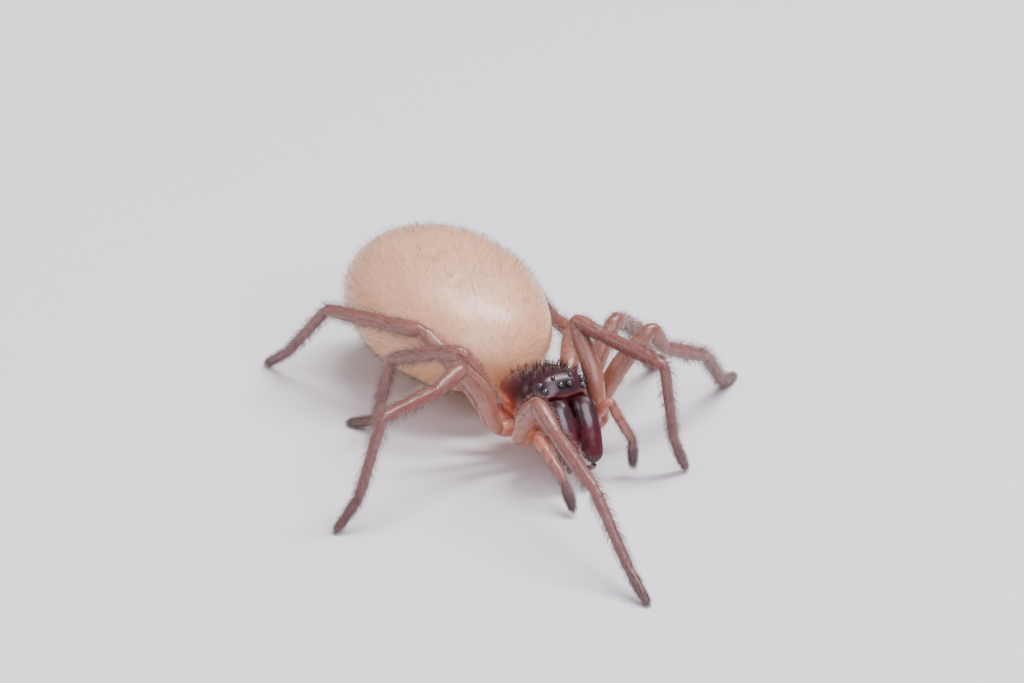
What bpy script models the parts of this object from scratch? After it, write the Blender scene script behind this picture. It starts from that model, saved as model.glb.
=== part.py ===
"""A pale, large-bodied spider at life size, standing on the floor in the pose of the photo.

It faces -Y, its left side is +X and the floor is z = 0. Sizes below are in millimetres and angles in
whole degrees. Points are given as (forward, left, up) from the middle of the front body, and to_world
turns them into the model's axes, whose origin is on the floor in the middle of the stance. The meshes are
made in millimetres and scaled to metres at the end.
"""
import math

import bmesh
import bpy
import numpy as np
from mathutils import Vector

MM = 0.001
BODY_HEIGHT = 2.9
# Middle of the ground that the spider covers, as (forward, left) from the middle of the front body
STANCE_MIDDLE = (-0.743, 0.301)

# Gap left between neighbouring pieces
GAP = 0.25
SMALL_GAP = 0.12
EYE_GAP = 0.04

# Front body: (forward, half width, top, bottom) of the shell from tail to face
SHELL_STATIONS = (
    (-2.42, 0.55, 0.16, -0.22),
    (-2.25, 0.95, 0.48, -0.32),
    (-1.85, 1.38, 0.88, -0.38),
    (-1.25, 1.70, 1.24, -0.40),
    (-0.60, 1.84, 1.50, -0.40),
    (0.05, 1.78, 1.70, -0.38),
    (0.55, 1.65, 1.80, -0.30),
    (0.88, 1.52, 1.82, -0.20),
    (1.12, 1.43, 1.75, -0.05),
    (1.32, 1.34, 1.61, 0.10),
    (1.49, 1.22, 1.42, 0.25),
    (1.62, 1.06, 1.20, 0.42),
)
SHELL_TAIL = (-2.50, -0.05)
SHELL_FACE = (1.67, 0.86)

# Abdomen: an egg with its front end a little down
ABDOMEN_CENTRE = (-8.55, -0.15, 0.87)
ABDOMEN_LENGTH = 11.3
ABDOMEN_WIDTH = 9.1
ABDOMEN_HEIGHT = 6.05
ABDOMEN_PITCH = 8

# Jaws
JAW_BASE = (1.68, 0.67, 0.90)
JAW_TIP = (3.50, 0.61, -1.60)
JAW_THICKNESS = 1.22

# Eyes: (name, forward, left, up, radius)
EYES = (
    ("front_middle", 1.45, 0.22, 1.48, 0.150),
    ("back_middle", 1.12, 0.44, 1.73, 0.110),
    ("front_side", 1.38, 0.96, 1.24, 0.165),
    ("back_side", 1.09, 1.07, 1.42, 0.165),
)

# Leg pairs: hip (forward, left, up), then lengths of femur, patella, tibia, metatarsus and tarsus
HIPS = ((1.42, 2.22, -0.80), (0.20, 2.60, -0.82), (-0.78, 2.52, -0.80), (-1.62, 2.15, -0.80))
LENGTHS = (
    (4.8, 1.7, 3.7, 3.9, 1.8),
    (4.5, 1.7, 3.7, 3.8, 1.75),
    (4.0, 1.6, 3.0, 3.3, 1.6),
    (4.6, 1.9, 3.7, 3.9, 1.75),
)
# Pose: headings of femur, tibia and foot, then slopes of femur, patella, tibia and metatarsus.
# Heading 0 is forward and 90 is straight out to the leg's own side.
POSES = {
    "right": (
        (20, 0, -4, 45, -24, -18, -41),
        (76, 70, 85, 56, -19, -2, -75),
        (85, 162, 150, 66, -18, -26, -80),
        (150, 158, 165, 40, -8, -8, -52),
    ),
    "left": (
        (182, 18, 88, 53, -6, -3, -78),
        (83, 110, 128, 57, -52, -24, -42),
        (118, 128, 130, 54, -27, -34, -48),
        (148, 171, 170, 14, -8, -2, -38),
    ),
}
# Half thickness along a leg: (bone number plus the part of it passed, radius)
LEG_RADII = (
    (0.00, 0.36), (0.12, 0.40), (0.40, 0.50), (0.75, 0.46), (0.97, 0.36),
    (1.30, 0.41), (1.80, 0.38), (2.00, 0.34), (2.30, 0.38), (2.80, 0.33),
    (3.00, 0.29), (3.30, 0.29), (3.90, 0.26), (4.00, 0.25), (4.40, 0.26), (5.00, 0.20),
)
FEMUR_BOW = 0.28
KNEE_ROUND = 0.46
JOINT_ROUND = 0.36
FOOT_AXIS_HEIGHT = 0.13

# Feelers beside the jaws: joints from base to tip on each side
PALPS = {
    "right": ((1.72, 1.32, -0.70), (2.35, 1.80, -0.50), (3.30, 1.84, -0.75), (4.25, 1.78, -1.20),
              (5.10, 1.72, -1.95), (5.55, 1.70, -2.55)),
    "left": ((1.72, 1.32, -0.70), (1.98, 1.62, 0.05), (2.30, 1.94, 0.65), (2.66, 2.26, -0.15),
             (3.10, 2.76, -1.05), (3.20, 2.84, -2.35)),
}
PALP_RADII = ((0.0, 0.25), (0.25, 0.30), (0.45, 0.29), (0.60, 0.27), (0.80, 0.27), (1.0, 0.18))


def to_world(point):
    forward, left, up = point
    return Vector((left - STANCE_MIDDLE[1], STANCE_MIDDLE[0] - forward, up + BODY_HEIGHT))


def material(name, colour, roughness=0.4, coat=0.0):
    """A plain Principled material, made once."""
    found = bpy.data.materials.get(name)
    if found:
        return found
    made = bpy.data.materials.new(name)
    made.use_nodes = True
    shader = made.node_tree.nodes["Principled BSDF"]
    shader.inputs["Base Color"].default_value = (*colour, 1)
    shader.inputs["Roughness"].default_value = roughness
    shader.inputs["Coat Weight"].default_value = coat
    made.diffuse_color = (*colour, 1)
    return made


def shell_paint():
    return material("carapace_maroon", (0.075, 0.016, 0.018), 0.25, 0.4)


def abdomen_paint():
    return material("abdomen_cream", (0.62, 0.42, 0.28), 0.45)


def leg_paint():
    return material("leg_amber", (0.30, 0.12, 0.075), 0.35)


def coxa_paint():
    return material("coxa_orange", (0.45, 0.11, 0.05), 0.3)


def jaw_paint():
    return material("jaw_black_maroon", (0.03, 0.006, 0.010), 0.15, 0.6)


def fang_paint():
    return material("fang_black", (0.012, 0.006, 0.006), 0.12, 0.6)


def eye_paint(dark):
    return material("eye_dark" if dark else "eye_pearl",
                    (0.01, 0.01, 0.012) if dark else (0.16, 0.12, 0.13), 0.05, 1.0)


def finish(name, mesh, paint):
    """An object of the part from a mesh in metres."""
    made = bpy.data.objects.new(name, mesh)
    made.data.materials.clear()
    made.data.materials.append(paint)
    mesh.shade_smooth()
    mesh.set_sharp_from_angle(angle=math.radians(50))
    PARTS.objects.link(made)
    return made


def shaped_sphere(name, shape, paint, around, along):
    """A sphere whose every point is moved by shape(turn, part), where part runs from pole to pole."""
    mesh = bpy.data.meshes.new(name)
    build = bmesh.new()
    bmesh.ops.create_uvsphere(build, u_segments=around, v_segments=along, radius=1)
    for vert in build.verts:
        turn = math.atan2(vert.co.y, vert.co.x)
        part = math.acos(max(-1.0, min(1.0, vert.co.z))) / math.pi
        vert.co = to_world(shape(turn, part))
    build.normal_update()
    bmesh.ops.recalc_face_normals(build, faces=build.faces)
    for vert in build.verts:
        vert.co *= MM
    build.to_mesh(mesh)
    build.free()
    return finish(name, mesh, paint)


def cut(target, cutter):
    """Takes the cutter's shape out of the target. The cutter stays in the scene, out of the render."""
    cutter.hide_render = True
    cutter.display_type = "WIRE"
    PARTS.objects.unlink(cutter)
    CUTTERS.objects.link(cutter)
    step = target.modifiers.new("Cut " + cutter.name, "BOOLEAN")
    step.operation = "DIFFERENCE"
    step.solver = "EXACT"
    step.object = cutter


def between(table, where):
    """The value at a place in a table of (place, value), eased from one entry to the next."""
    places = [row[0] for row in table]
    k = max(0, min(len(table) - 2, int(np.searchsorted(places, where)) - 1))
    part = min(1, max(0, (where - places[k]) / (places[k + 1] - places[k])))
    part = part * part * (3 - 2 * part)
    return table[k][1] + (table[k + 1][1] - table[k][1]) * part


def tube(name, path, radii, paint, bevel_resolution=4):
    """A tube along a path, as a poly curve with a radius at each point, made a mesh with welded caps."""
    curve = bpy.data.curves.new(name, "CURVE")
    curve.dimensions = "3D"
    curve.bevel_depth = MM
    curve.bevel_resolution = bevel_resolution
    curve.use_fill_caps = True
    spline = curve.splines.new("POLY")
    spline.points.add(len(path) - 1)
    for point, place, radius in zip(spline.points, path, radii):
        point.co = (*(to_world(place) * MM), 1)
        point.radius = radius
    guide = bpy.data.objects.new(name + "_curve", curve)
    bpy.context.scene.collection.objects.link(guide)
    bpy.context.view_layer.update()
    graph = bpy.context.evaluated_depsgraph_get()
    mesh = bpy.data.meshes.new_from_object(guide.evaluated_get(graph))
    bpy.data.objects.remove(guide, do_unlink=True)
    mesh.name = name
    build = bmesh.new()
    build.from_mesh(mesh)
    bmesh.ops.remove_doubles(build, verts=build.verts, dist=2e-6)
    build.normal_update()
    bmesh.ops.recalc_face_normals(build, faces=build.faces)
    build.to_mesh(mesh)
    build.free()
    return finish(name, mesh, paint)


def dome(radius):
    """(distance from the pole, radius) of the rings that close a tube with a rounded end."""
    return [(radius * (1 - math.cos(a)), radius * math.sin(a))
            for a in (math.radians(d) for d in (9, 28, 50, 72))]


def rounded_path(corners, rounds):
    """A polyline whose inner corners become arcs. Returns dense points and each corner's place along it."""
    corners = [Vector(c) for c in corners]
    points, marks = [corners[0]], [0]
    for before, corner, after, size in zip(corners, corners[1:], corners[2:], rounds):
        into, out = (corner - before).normalized(), (after - corner).normalized()
        bend = into.angle(out)
        if bend < 0.02:
            points.append(corner)
            marks.append(len(points) - 1)
            continue
        reach = size * math.tan(bend / 2)
        centre = corner + (out - into).normalized() * (size / math.cos(bend / 2))
        first = corner - into * reach - centre
        last = corner + out * reach - centre
        pieces = max(2, math.ceil(math.degrees(bend) / 12))
        for k in range(pieces + 1):
            part = k / pieces
            spoke = (first * math.sin((1 - part) * bend) + last * math.sin(part * bend)) / math.sin(bend)
            points.append(centre + spoke)
        marks.append(len(points) - 1 - pieces // 2)
    points.append(corners[-1])
    marks.append(len(points) - 1)
    return points, marks


def heading(side, degrees, slope):
    yaw, lift = math.radians(degrees), math.radians(slope)
    out = 1 if side == "left" else -1
    return Vector((math.cos(yaw) * math.cos(lift), out * math.sin(yaw) * math.cos(lift), math.sin(lift)))


def leg_corners(side, pair):
    """Hip, knee and the later joints of a leg. The last bone slopes so that the tip meets the floor."""
    femur_yaw, tibia_yaw, foot_yaw, *slopes = POSES[side][pair]
    lengths = LENGTHS[pair]
    hip = Vector(HIPS[pair])
    hip.y *= 1 if side == "left" else -1
    corners = [hip]
    for length, yaw, slope in zip(lengths, (femur_yaw, tibia_yaw, tibia_yaw, foot_yaw), slopes):
        corners.append(corners[-1] + heading(side, yaw, slope) * length)
    drop = corners[-1].z + BODY_HEIGHT - FOOT_AXIS_HEIGHT
    last_slope = -math.degrees(math.asin(max(0.0, min(0.97, drop / lengths[4]))))
    corners.append(corners[-1] + heading(side, foot_yaw, last_slope) * lengths[4])
    return corners


def leg_line(side, pair):
    """Points along a leg with the place of each, counted in bones from the hip."""
    corners = leg_corners(side, pair)
    points, marks = rounded_path(corners, (KNEE_ROUND, JOINT_ROUND, JOINT_ROUND, JOINT_ROUND))
    travelled = np.concatenate([[0], np.cumsum([(b - a).length for a, b in zip(points, points[1:])])])
    places = np.interp(travelled, travelled[marks], range(6))
    bow_way = Vector((0, 0, 1))
    line = (corners[1] - corners[0]).normalized()
    bow_way = (bow_way - line * bow_way.dot(line)).normalized()
    dense = np.linspace(0, travelled[-1], 1200)
    xyz = np.stack([np.interp(dense, travelled, [p[k] for p in points]) for k in range(3)], 1)
    where = np.interp(dense, travelled, places)
    bow = np.sin(np.clip(where, 0, 1) * np.pi) ** 2 * FEMUR_BOW
    return dense, xyz + bow[:, None] * np.array(bow_way), where


def leg_piece(name, line, first, last, round_start=False, round_end=False):
    """The part of a leg between two distances from the hip, with more rings where it bends."""
    dense, xyz, where = line
    inside = (dense >= first) & (dense <= last)
    s = dense[inside]
    steps = np.diff(xyz[inside], axis=0)
    steps /= np.linalg.norm(steps, axis=1)[:, None]
    turn = np.degrees(np.arccos(np.clip((steps[1:] * steps[:-1]).sum(1), -1, 1)))
    effort = np.cumsum(np.concatenate([[0, 0], turn]) / 17) + (s - s[0]) / 0.62
    count = max(4, int(round(effort[-1])) + 1)
    rings = [(d, between(LEG_RADII, float(np.interp(d, dense, where))))
             for d in np.interp(np.linspace(0, effort[-1], count), effort, s)]
    if round_start:
        cap = rings[0][1]
        rings = [(s[0] + d, r) for d, r in dome(cap)] + [row for row in rings if row[0] > s[0] + cap]
    if round_end:
        cap = rings[-1][1]
        rings = [row for row in rings if row[0] < s[-1] - cap] + [(s[-1] - d, r) for d, r in dome(cap)[::-1]]
    path = [tuple(np.interp(d, dense, xyz[:, k]) for k in range(3)) for d, _ in rings]
    return tube(name, path, [r for _, r in rings], leg_paint())


def flatten_sole(piece):
    """Presses the lowest points of a foot onto the floor, so that it stands on a small flat."""
    for vertex in piece.data.vertices:
        if vertex.co.z < 0:
            vertex.co.z = 0


def leg(side, pair):
    line = leg_line(side, pair)
    dense, _, where = line
    name = f"leg_{side}_{pair + 1}"
    tibia_start = float(np.interp(2.04, where, dense))
    tibia_end = float(np.interp(2.86, where, dense))
    leg_piece(name + "_femur", line, 0, tibia_start - GAP, round_start=True)
    leg_piece(name + "_tibia", line, tibia_start, tibia_end)
    foot = leg_piece(name + "_foot", line, tibia_end + GAP, dense[-1], round_end=True)
    flatten_sole(foot)


def mirrored(path, side):
    out = 1 if side == "left" else -1
    return [(f, l * out, u) for f, l, u in path]


def coxa(side, pair):
    """The barrel-shaped first joint of a leg, from the body core out to the hip."""
    hip = Vector(HIPS[pair])
    inner = Vector((hip.x * 0.72 - 0.02, 0.98 if pair in (0, 3) else 1.02, -1.0))
    outer = hip + (inner - hip).normalized() * (0.40 + SMALL_GAP)
    rings = ((0, 0.10), (0.05, 0.20), (0.15, 0.26), (0.30, 0.29), (0.50, 0.34), (0.72, 0.38), (0.92, 0.37), (1.0, 0.33))
    path = mirrored([inner + (outer - inner) * part for part, _ in rings], side)
    tube(f"coxa_{side}_{pair + 1}", path, [radius for _, radius in rings], coxa_paint())


def shell():
    """The domed shell of the front body, with cups for the eyes and room for the jaws."""
    count = len(SHELL_STATIONS)

    def shape(turn, part):
        k = round(part * (count + 1)) - 1
        if k < 0:
            return SHELL_TAIL[0], 0, SHELL_TAIL[1]
        if k >= count:
            return SHELL_FACE[0], 0, SHELL_FACE[1]
        forward, width, top, bottom = SHELL_STATIONS[k]
        across, rise = math.cos(turn), math.sin(turn)
        margin = bottom + (top - bottom) * 0.30
        tall = (top - margin) if rise > 0 else (margin - bottom)
        return (forward, width * math.copysign(abs(across) ** 0.86, across),
                margin + tall * math.copysign(abs(rise) ** 0.92, rise))

    made = shaped_sphere("carapace", shape, shell_paint(), 28, count + 1)
    for side in ("right", "left"):
        cut(made, jaw(side, "jaw_room_" + side, SMALL_GAP))
        for which, *_ in EYES:
            cut(made, eye(side, which, f"eye_room_{which}_{side}", EYE_GAP))


def ellipsoid(name, centre, radii, paint, around, along):
    def shape(turn, part):
        a = part * math.pi
        return (centre[0] + radii[0] * math.sin(a) * math.cos(turn),
                centre[1] + radii[1] * math.sin(a) * math.sin(turn),
                centre[2] + radii[2] * math.cos(a))

    return shaped_sphere(name, shape, paint, around, along)


def eye(side, which, name, extra=0.0):
    _, forward, left, up, radius = next(row for row in EYES if row[0] == which)
    left *= 1 if side == "left" else -1
    return ellipsoid(name, (forward, left, up), (radius + extra,) * 3, eye_paint(which == "front_middle"), 10, 6)


def jaw(side, name, extra=0.0):
    """One stout jaw. Its front bulges near the base and it narrows towards the fang."""
    base, tip = Vector(JAW_BASE), Vector(JAW_TIP)
    way = (tip - base).normalized()
    front = Vector((-way.z, 0, way.x))
    rings = ((0.0, 0.50, 0.00), (0.03, 0.74, 0.00), (0.10, 0.92, 0.03), (0.22, 1.0, 0.07), (0.40, 1.0, 0.08),
             (0.58, 0.96, 0.05), (0.74, 0.88, 0.02), (0.88, 0.76, 0.00), (0.96, 0.60, 0.00), (1.0, 0.38, 0.00))
    path = [base + (tip - base) * part + front * lean + way * (extra * (2 * part - 1)) for part, _, lean in rings]
    return tube(name, mirrored(path, side), [JAW_THICKNESS / 2 * size + extra for _, size, _ in rings],
                jaw_paint(), 6)


def fang(side):
    """A curved fang, folded in under the end of its jaw."""
    path = ((3.36, 0.66, -1.84), (3.26, 0.52, -1.94), (3.06, 0.38, -2.00), (2.84, 0.27, -2.01), (2.62, 0.19, -1.98))
    tube("fang_" + side, mirrored(path, side), (0.10, 0.12, 0.10, 0.07, 0.03), fang_paint(), 2)


def palp(side):
    """A feeler beside the jaws, shaped like a small leg."""
    points, _ = rounded_path(mirrored(PALPS[side], side), (0.34,) * (len(PALPS[side]) - 2))
    travelled = np.concatenate([[0], np.cumsum([(b - a).length for a, b in zip(points, points[1:])])])
    total = travelled[-1]
    steps = [(b - a).normalized() for a, b in zip(points, points[1:])]
    turn = [0] + [math.degrees(a.angle(b)) for a, b in zip(steps, steps[1:])] + [0]
    effort = np.cumsum(turn) / 20 + travelled / 0.5
    stops = np.interp(np.linspace(0, effort[-1], int(effort[-1]) + 1), effort, travelled)
    first, last = PALP_RADII[0][1], PALP_RADII[-1][1]
    rings = dome(first) + [(d, between(PALP_RADII, d / total)) for d in stops if first < d < total - last]
    rings += [(total - d, r) for d, r in dome(last)[::-1]]
    path = [tuple(np.interp(d, travelled, [p[k] for p in points]) for k in range(3)) for d, _ in rings]
    tube("palp_" + side, path, [r for _, r in rings], leg_paint())


def maxilla(side):
    path = ((1.22, 0.86, -1.18), (1.32, 0.80, -1.22), (1.52, 0.68, -1.28),
            (1.80, 0.54, -1.34), (2.02, 0.46, -1.38), (2.12, 0.43, -1.40))
    tube("maxilla_" + side, mirrored(path, side), (0.16, 0.24, 0.28, 0.27, 0.20, 0.12), coxa_paint())


def sternum():
    """The shield between the legs underneath, wide below and narrow above, and the small lip ahead of it."""
    def shape(turn, part):
        a = part * math.pi
        girth = math.sin(a) ** 0.7
        wide = 0.62 + 0.26 * max(0.0, -math.cos(a)) ** 0.5
        return (-0.32 + 1.30 * girth * math.cos(turn),
                wide * girth * math.sin(turn) * (1 + 0.10 * math.cos(turn)),
                -1.12 + 0.53 * math.cos(a))

    shaped_sphere("sternum", shape, coxa_paint(), 20, 12)
    ellipsoid("labium", (1.30, 0, -1.44), (0.22, 0.26, 0.13), coxa_paint(), 12, 6)


def abdomen():
    """The egg-shaped abdomen, with its front end a little down."""
    pitch = math.radians(ABDOMEN_PITCH)
    centre = Vector(ABDOMEN_CENTRE)
    ahead = Vector((math.cos(pitch), 0, -math.sin(pitch)))
    upward = Vector((math.sin(pitch), 0, math.cos(pitch)))

    def shape(turn, part):
        a = part * math.pi
        girth = math.sin(a) ** 0.94 * (1 - 0.06 * math.cos(a))
        tall = ABDOMEN_HEIGHT / 2 * (1.0 if math.sin(turn) > 0 else 0.94)
        return (centre + ahead * (ABDOMEN_LENGTH / 2 * math.cos(a)) + Vector((0, 1, 0)) * (ABDOMEN_WIDTH / 2 * girth
                * math.cos(turn)) + upward * (tall * girth * math.sin(turn)))

    shaped_sphere("abdomen", shape, abdomen_paint(), 36, 22)


def spinnerets():
    for side in ("right", "left"):
        for name, start, end, radius in (
            ("front", (-13.10, 0.36, -0.46), (-13.70, 0.42, -0.88), 0.24),
            ("back", (-13.72, 0.30, -0.04), (-14.40, 0.38, -0.21), 0.20),
        ):
            (first, last) = (Vector(p) + Vector((0, ABDOMEN_CENTRE[1], 0)) for p in mirrored((start, end), side))
            path = [first + (last - first) * part for part in (0, 0.1, 0.5, 0.85, 1.0)]
            tube(f"spinneret_{name}_{side}", path, [radius * r for r in (0.7, 0.95, 1.0, 0.8, 0.45)], coxa_paint(), 3)


def pedicel():
    path = ((-1.95, 0, -0.82), (-2.05, 0, -0.82), (-2.45, -0.02, -0.80), (-2.80, -0.04, -0.78), (-2.90, -0.05, -0.78))
    tube("pedicel", path, (0.20, 0.26, 0.24, 0.26, 0.20), coxa_paint())


def build():
    shell()
    sternum()
    pedicel()
    abdomen()
    spinnerets()
    for side in ("right", "left"):
        jaw(side, "chelicera_" + side)
        fang(side)
        maxilla(side)
        palp(side)
        for which, *_ in EYES:
            eye(side, which, f"eye_{which}_{side}")
        for pair in range(4):
            coxa(side, pair)
            leg(side, pair)


for old in list(bpy.data.objects):
    bpy.data.objects.remove(old, do_unlink=True)
PARTS = bpy.data.collections.new("Spider")
CUTTERS = bpy.data.collections.new("Cutters")
for collection in (PARTS, CUTTERS):
    bpy.context.scene.collection.children.link(collection)
build()
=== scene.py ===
"""The looks of the spider: fine skins, lenses, claws and hair in place of the faceted solids.

Shapes are worked out in millimetres, as (forward, left, up) from the middle of the front body, and to_frame
turns them into the model's own axes. Every skin is a surface of two numbers: u runs once round it and v runs
along it, both from 0 to 1.
"""
import logging
import math
from dataclasses import dataclass, field
from enum import Enum
from typing import Callable

import bpy
import numpy as np
from mathutils import Matrix, Vector

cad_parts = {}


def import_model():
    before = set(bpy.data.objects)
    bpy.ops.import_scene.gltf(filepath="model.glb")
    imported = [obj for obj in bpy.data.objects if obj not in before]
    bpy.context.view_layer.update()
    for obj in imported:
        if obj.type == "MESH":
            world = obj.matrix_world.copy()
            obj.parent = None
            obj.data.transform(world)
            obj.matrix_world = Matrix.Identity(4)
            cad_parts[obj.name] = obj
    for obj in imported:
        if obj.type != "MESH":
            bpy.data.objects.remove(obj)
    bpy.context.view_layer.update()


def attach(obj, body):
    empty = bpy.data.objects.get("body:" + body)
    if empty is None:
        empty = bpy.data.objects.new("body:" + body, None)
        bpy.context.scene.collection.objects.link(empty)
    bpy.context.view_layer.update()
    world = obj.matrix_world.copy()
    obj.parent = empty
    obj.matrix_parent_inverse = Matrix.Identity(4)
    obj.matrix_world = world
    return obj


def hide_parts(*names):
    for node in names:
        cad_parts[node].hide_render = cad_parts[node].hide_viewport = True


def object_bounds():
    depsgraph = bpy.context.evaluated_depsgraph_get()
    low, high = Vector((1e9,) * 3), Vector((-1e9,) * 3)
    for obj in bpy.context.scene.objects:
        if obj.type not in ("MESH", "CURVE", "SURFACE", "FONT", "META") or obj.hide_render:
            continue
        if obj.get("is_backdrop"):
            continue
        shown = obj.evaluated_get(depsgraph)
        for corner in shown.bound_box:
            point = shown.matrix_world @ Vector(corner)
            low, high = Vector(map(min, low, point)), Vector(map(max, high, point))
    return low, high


Array = np.ndarray
Colour = tuple[float, float, float]
# What gives a surface's points, or a radius, from two numbers; one number a point from u, v and the
# points; and named numbers from the same.
Shape = Callable[[Array, Array], Array]
Reading = Callable[[Array, Array, Array], Array]
Marks = Callable[[Array, Array, Array], dict[str, Array]]
log = logging.getLogger("spider")

# Metres in a millimetre.
MM = 0.001
# Height of the front body's middle over the floor, in millimetres.
BODY_HEIGHT = 2.9
# Middle of the box over the feet, as (forward, left) in millimetres.
STANCE_MIDDLE = (-0.743, 0.301)
# Every coat's own seed is counted from this one.
SEED = 20
# A full turn, in radians.
TURN = 2 * np.pi
# The point that every light looks at, in metres.
LIGHT_AIM = (0, 0, 0.003)
# Gap between the hair and the floor, and between the feet and the floor's own mesh, in millimetres.
FLOOR_GAP = 0.004
# How far the hair may reach over the top of the solids, in millimetres.
HEADROOM = 0.03
# How far a hair's tip sags, as a share of its length.
SAG = 0.04
# Least distance of a hair's root from the edge of the bake map, as a share of its width.
MAP_MARGIN = 0.003


class Side(Enum):
    """The two sides of the animal, with the sign of each along the left axis."""

    RIGHT = -1
    LEFT = 1

    @property
    def word(self) -> str:
        """The side's name as the nodes spell it."""
        return self.name.lower()

    def place(self, points: tuple) -> Array:
        """Points given for the left side, as they lie on this one."""
        return np.array(points) * (1, self.value, 1)


class Slot(Enum):
    """The record's material slots."""

    CARAPACE = "carapace_maroon"
    ABDOMEN = "abdomen_cream"
    LEG = "leg_amber"
    COXA = "coxa_orange"
    JAW = "jaw_black_maroon"
    FANG = "fang_black"
    EYE_DARK = "eye_dark"
    EYE_PEARL = "eye_pearl"


def to_frame(points: Array) -> Array:
    """Turns (forward, left, up) in millimetres into the model's axes in metres.

    Args:
        points: An array whose last axis holds forward, left and up.

    Returns:
        An array of the same shape, in metres.
    """
    forward, left, up = np.moveaxis(np.asarray(points, float), -1, 0)
    return np.stack([left - STANCE_MIDDLE[1], STANCE_MIDDLE[0] - forward, up + BODY_HEIGHT], -1) * MM


def unit(vectors: Array) -> Array:
    """Scales vectors to length 1."""
    return vectors / np.maximum(np.linalg.norm(vectors, axis=-1, keepdims=True), 1e-12)


def smooth(table: Array | tuple, where: Array) -> Array:
    """Reads a table as a smooth curve that never swings past its own entries.

    The curve is a cubic between neighbours, whose slope at an entry is the harmonic mean of the slopes beside
    it, or 0 at a peak.

    Args:
        table: Rows of (place, value, value, ...), with rising places.
        where: The places to read.

    Returns:
        The values, with one more axis than where if a row holds several.
    """
    rows = np.asarray(table, float)
    x, y = rows[:, 0], rows[:, 1:]
    gaps = np.diff(x)[:, None]
    slopes = np.diff(y, axis=0) / gaps
    before, after = slopes[:-1], slopes[1:]
    same = before * after > 0
    mean = np.where(same, 2 * before * after / np.where(same, before + after, 1), 0)
    tangents = np.concatenate([slopes[:1], mean, slopes[-1:]])
    where = np.clip(where, x[0], x[-1])
    k = np.clip(np.searchsorted(x, where) - 1, 0, len(x) - 2)
    t = ((where - x[k]) / gaps[k, 0])[..., None]
    gap = gaps[k]
    value = (y[k] * (1 + 2 * t) * (1 - t) ** 2 + tangents[k] * gap * t * (1 - t) ** 2
             + y[k + 1] * t * t * (3 - 2 * t) + tangents[k + 1] * gap * t * t * (t - 1))
    return value[..., 0] if rows.shape[1] == 2 else value


def through(knots: Array, part: Array) -> Array:
    """A smooth line through knots that share out part, from 0 to 1, evenly."""
    return smooth(np.column_stack([np.linspace(0, 1, len(knots)), knots]), part)


def tapered(table: tuple, size: float = 1.0) -> Shape:
    """A girth that is the same all round: a size times the table's radius at the place."""
    return lambda place, turn: size * smooth(table, place)


def angles(u: Array, v: Array) -> tuple[Array, Array]:
    """The angle from an egg's first pole, from 0 to half a turn, and the turn round its axis."""
    return np.clip(v, 0, 1) * np.pi, u * TURN


def facing(azimuth: float, elevation: float) -> Array:
    """The unit direction from the model to what stands at these angles, in degrees."""
    a, e = math.radians(azimuth), math.radians(elevation)
    return np.array([math.sin(a) * math.cos(e), -math.cos(a) * math.cos(e), math.sin(e)])


def soften(corners: Array, step: float, margin: int, width: float) -> tuple[Array, Array, Array]:
    """Softens the corners of a line of straight pieces with a moving bell curve.

    The line is read at even steps, and runs on straight past both ends, so that the ends stay in place.

    Args:
        corners: The line's corners, in millimetres.
        step: Distance between the points read.
        margin: How many points the bell curve reaches to each side.
        width: Its standard deviation, in millimetres.

    Returns:
        The softened points, the distance gone at each of them, and the distance gone at each corner.
    """
    travel = np.concatenate([[0], np.cumsum(np.linalg.norm(np.diff(corners, axis=0), axis=1))])
    dense = np.arange(-margin, int(travel[-1] / step) + margin) * step
    inside = np.clip(dense, 0, travel[-1])
    line = np.stack([np.interp(inside, travel, corners[:, k]) for k in range(3)], -1)
    first, last = unit(corners[1] - corners[0]), unit(corners[-1] - corners[-2])
    line += (dense - inside)[:, None] * np.where(dense[:, None] < 0, first, last)
    bell = np.exp(-(np.arange(-margin, margin + 1) * step / width) ** 2 / 2)
    bell /= bell.sum()
    line = np.stack([np.convolve(line[:, k], bell, "valid") for k in range(3)], -1)
    return line, inside[margin:-margin], travel


def ripples(points: Array, length: float, seed: int, count: int = 14) -> Array:
    """Smooth random heights in space: the mean of plane waves in random directions, about -1 to 1.

    Args:
        points: Where to read them, in millimetres.
        length: The length of the waves in millimetres.
        seed: Picks the waves.
        count: How many waves are summed.

    Returns:
        One height for each point.
    """
    rng = np.random.default_rng(seed)
    ways = unit(rng.normal(size=(count, 3))) * TURN / (length * rng.uniform(0.7, 1.5, (count, 1)))
    waves = np.cos(np.asarray(points) @ ways.T + rng.uniform(0, TURN, count))
    return waves.sum(-1) / math.sqrt(count / 2) / 1.6


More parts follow.
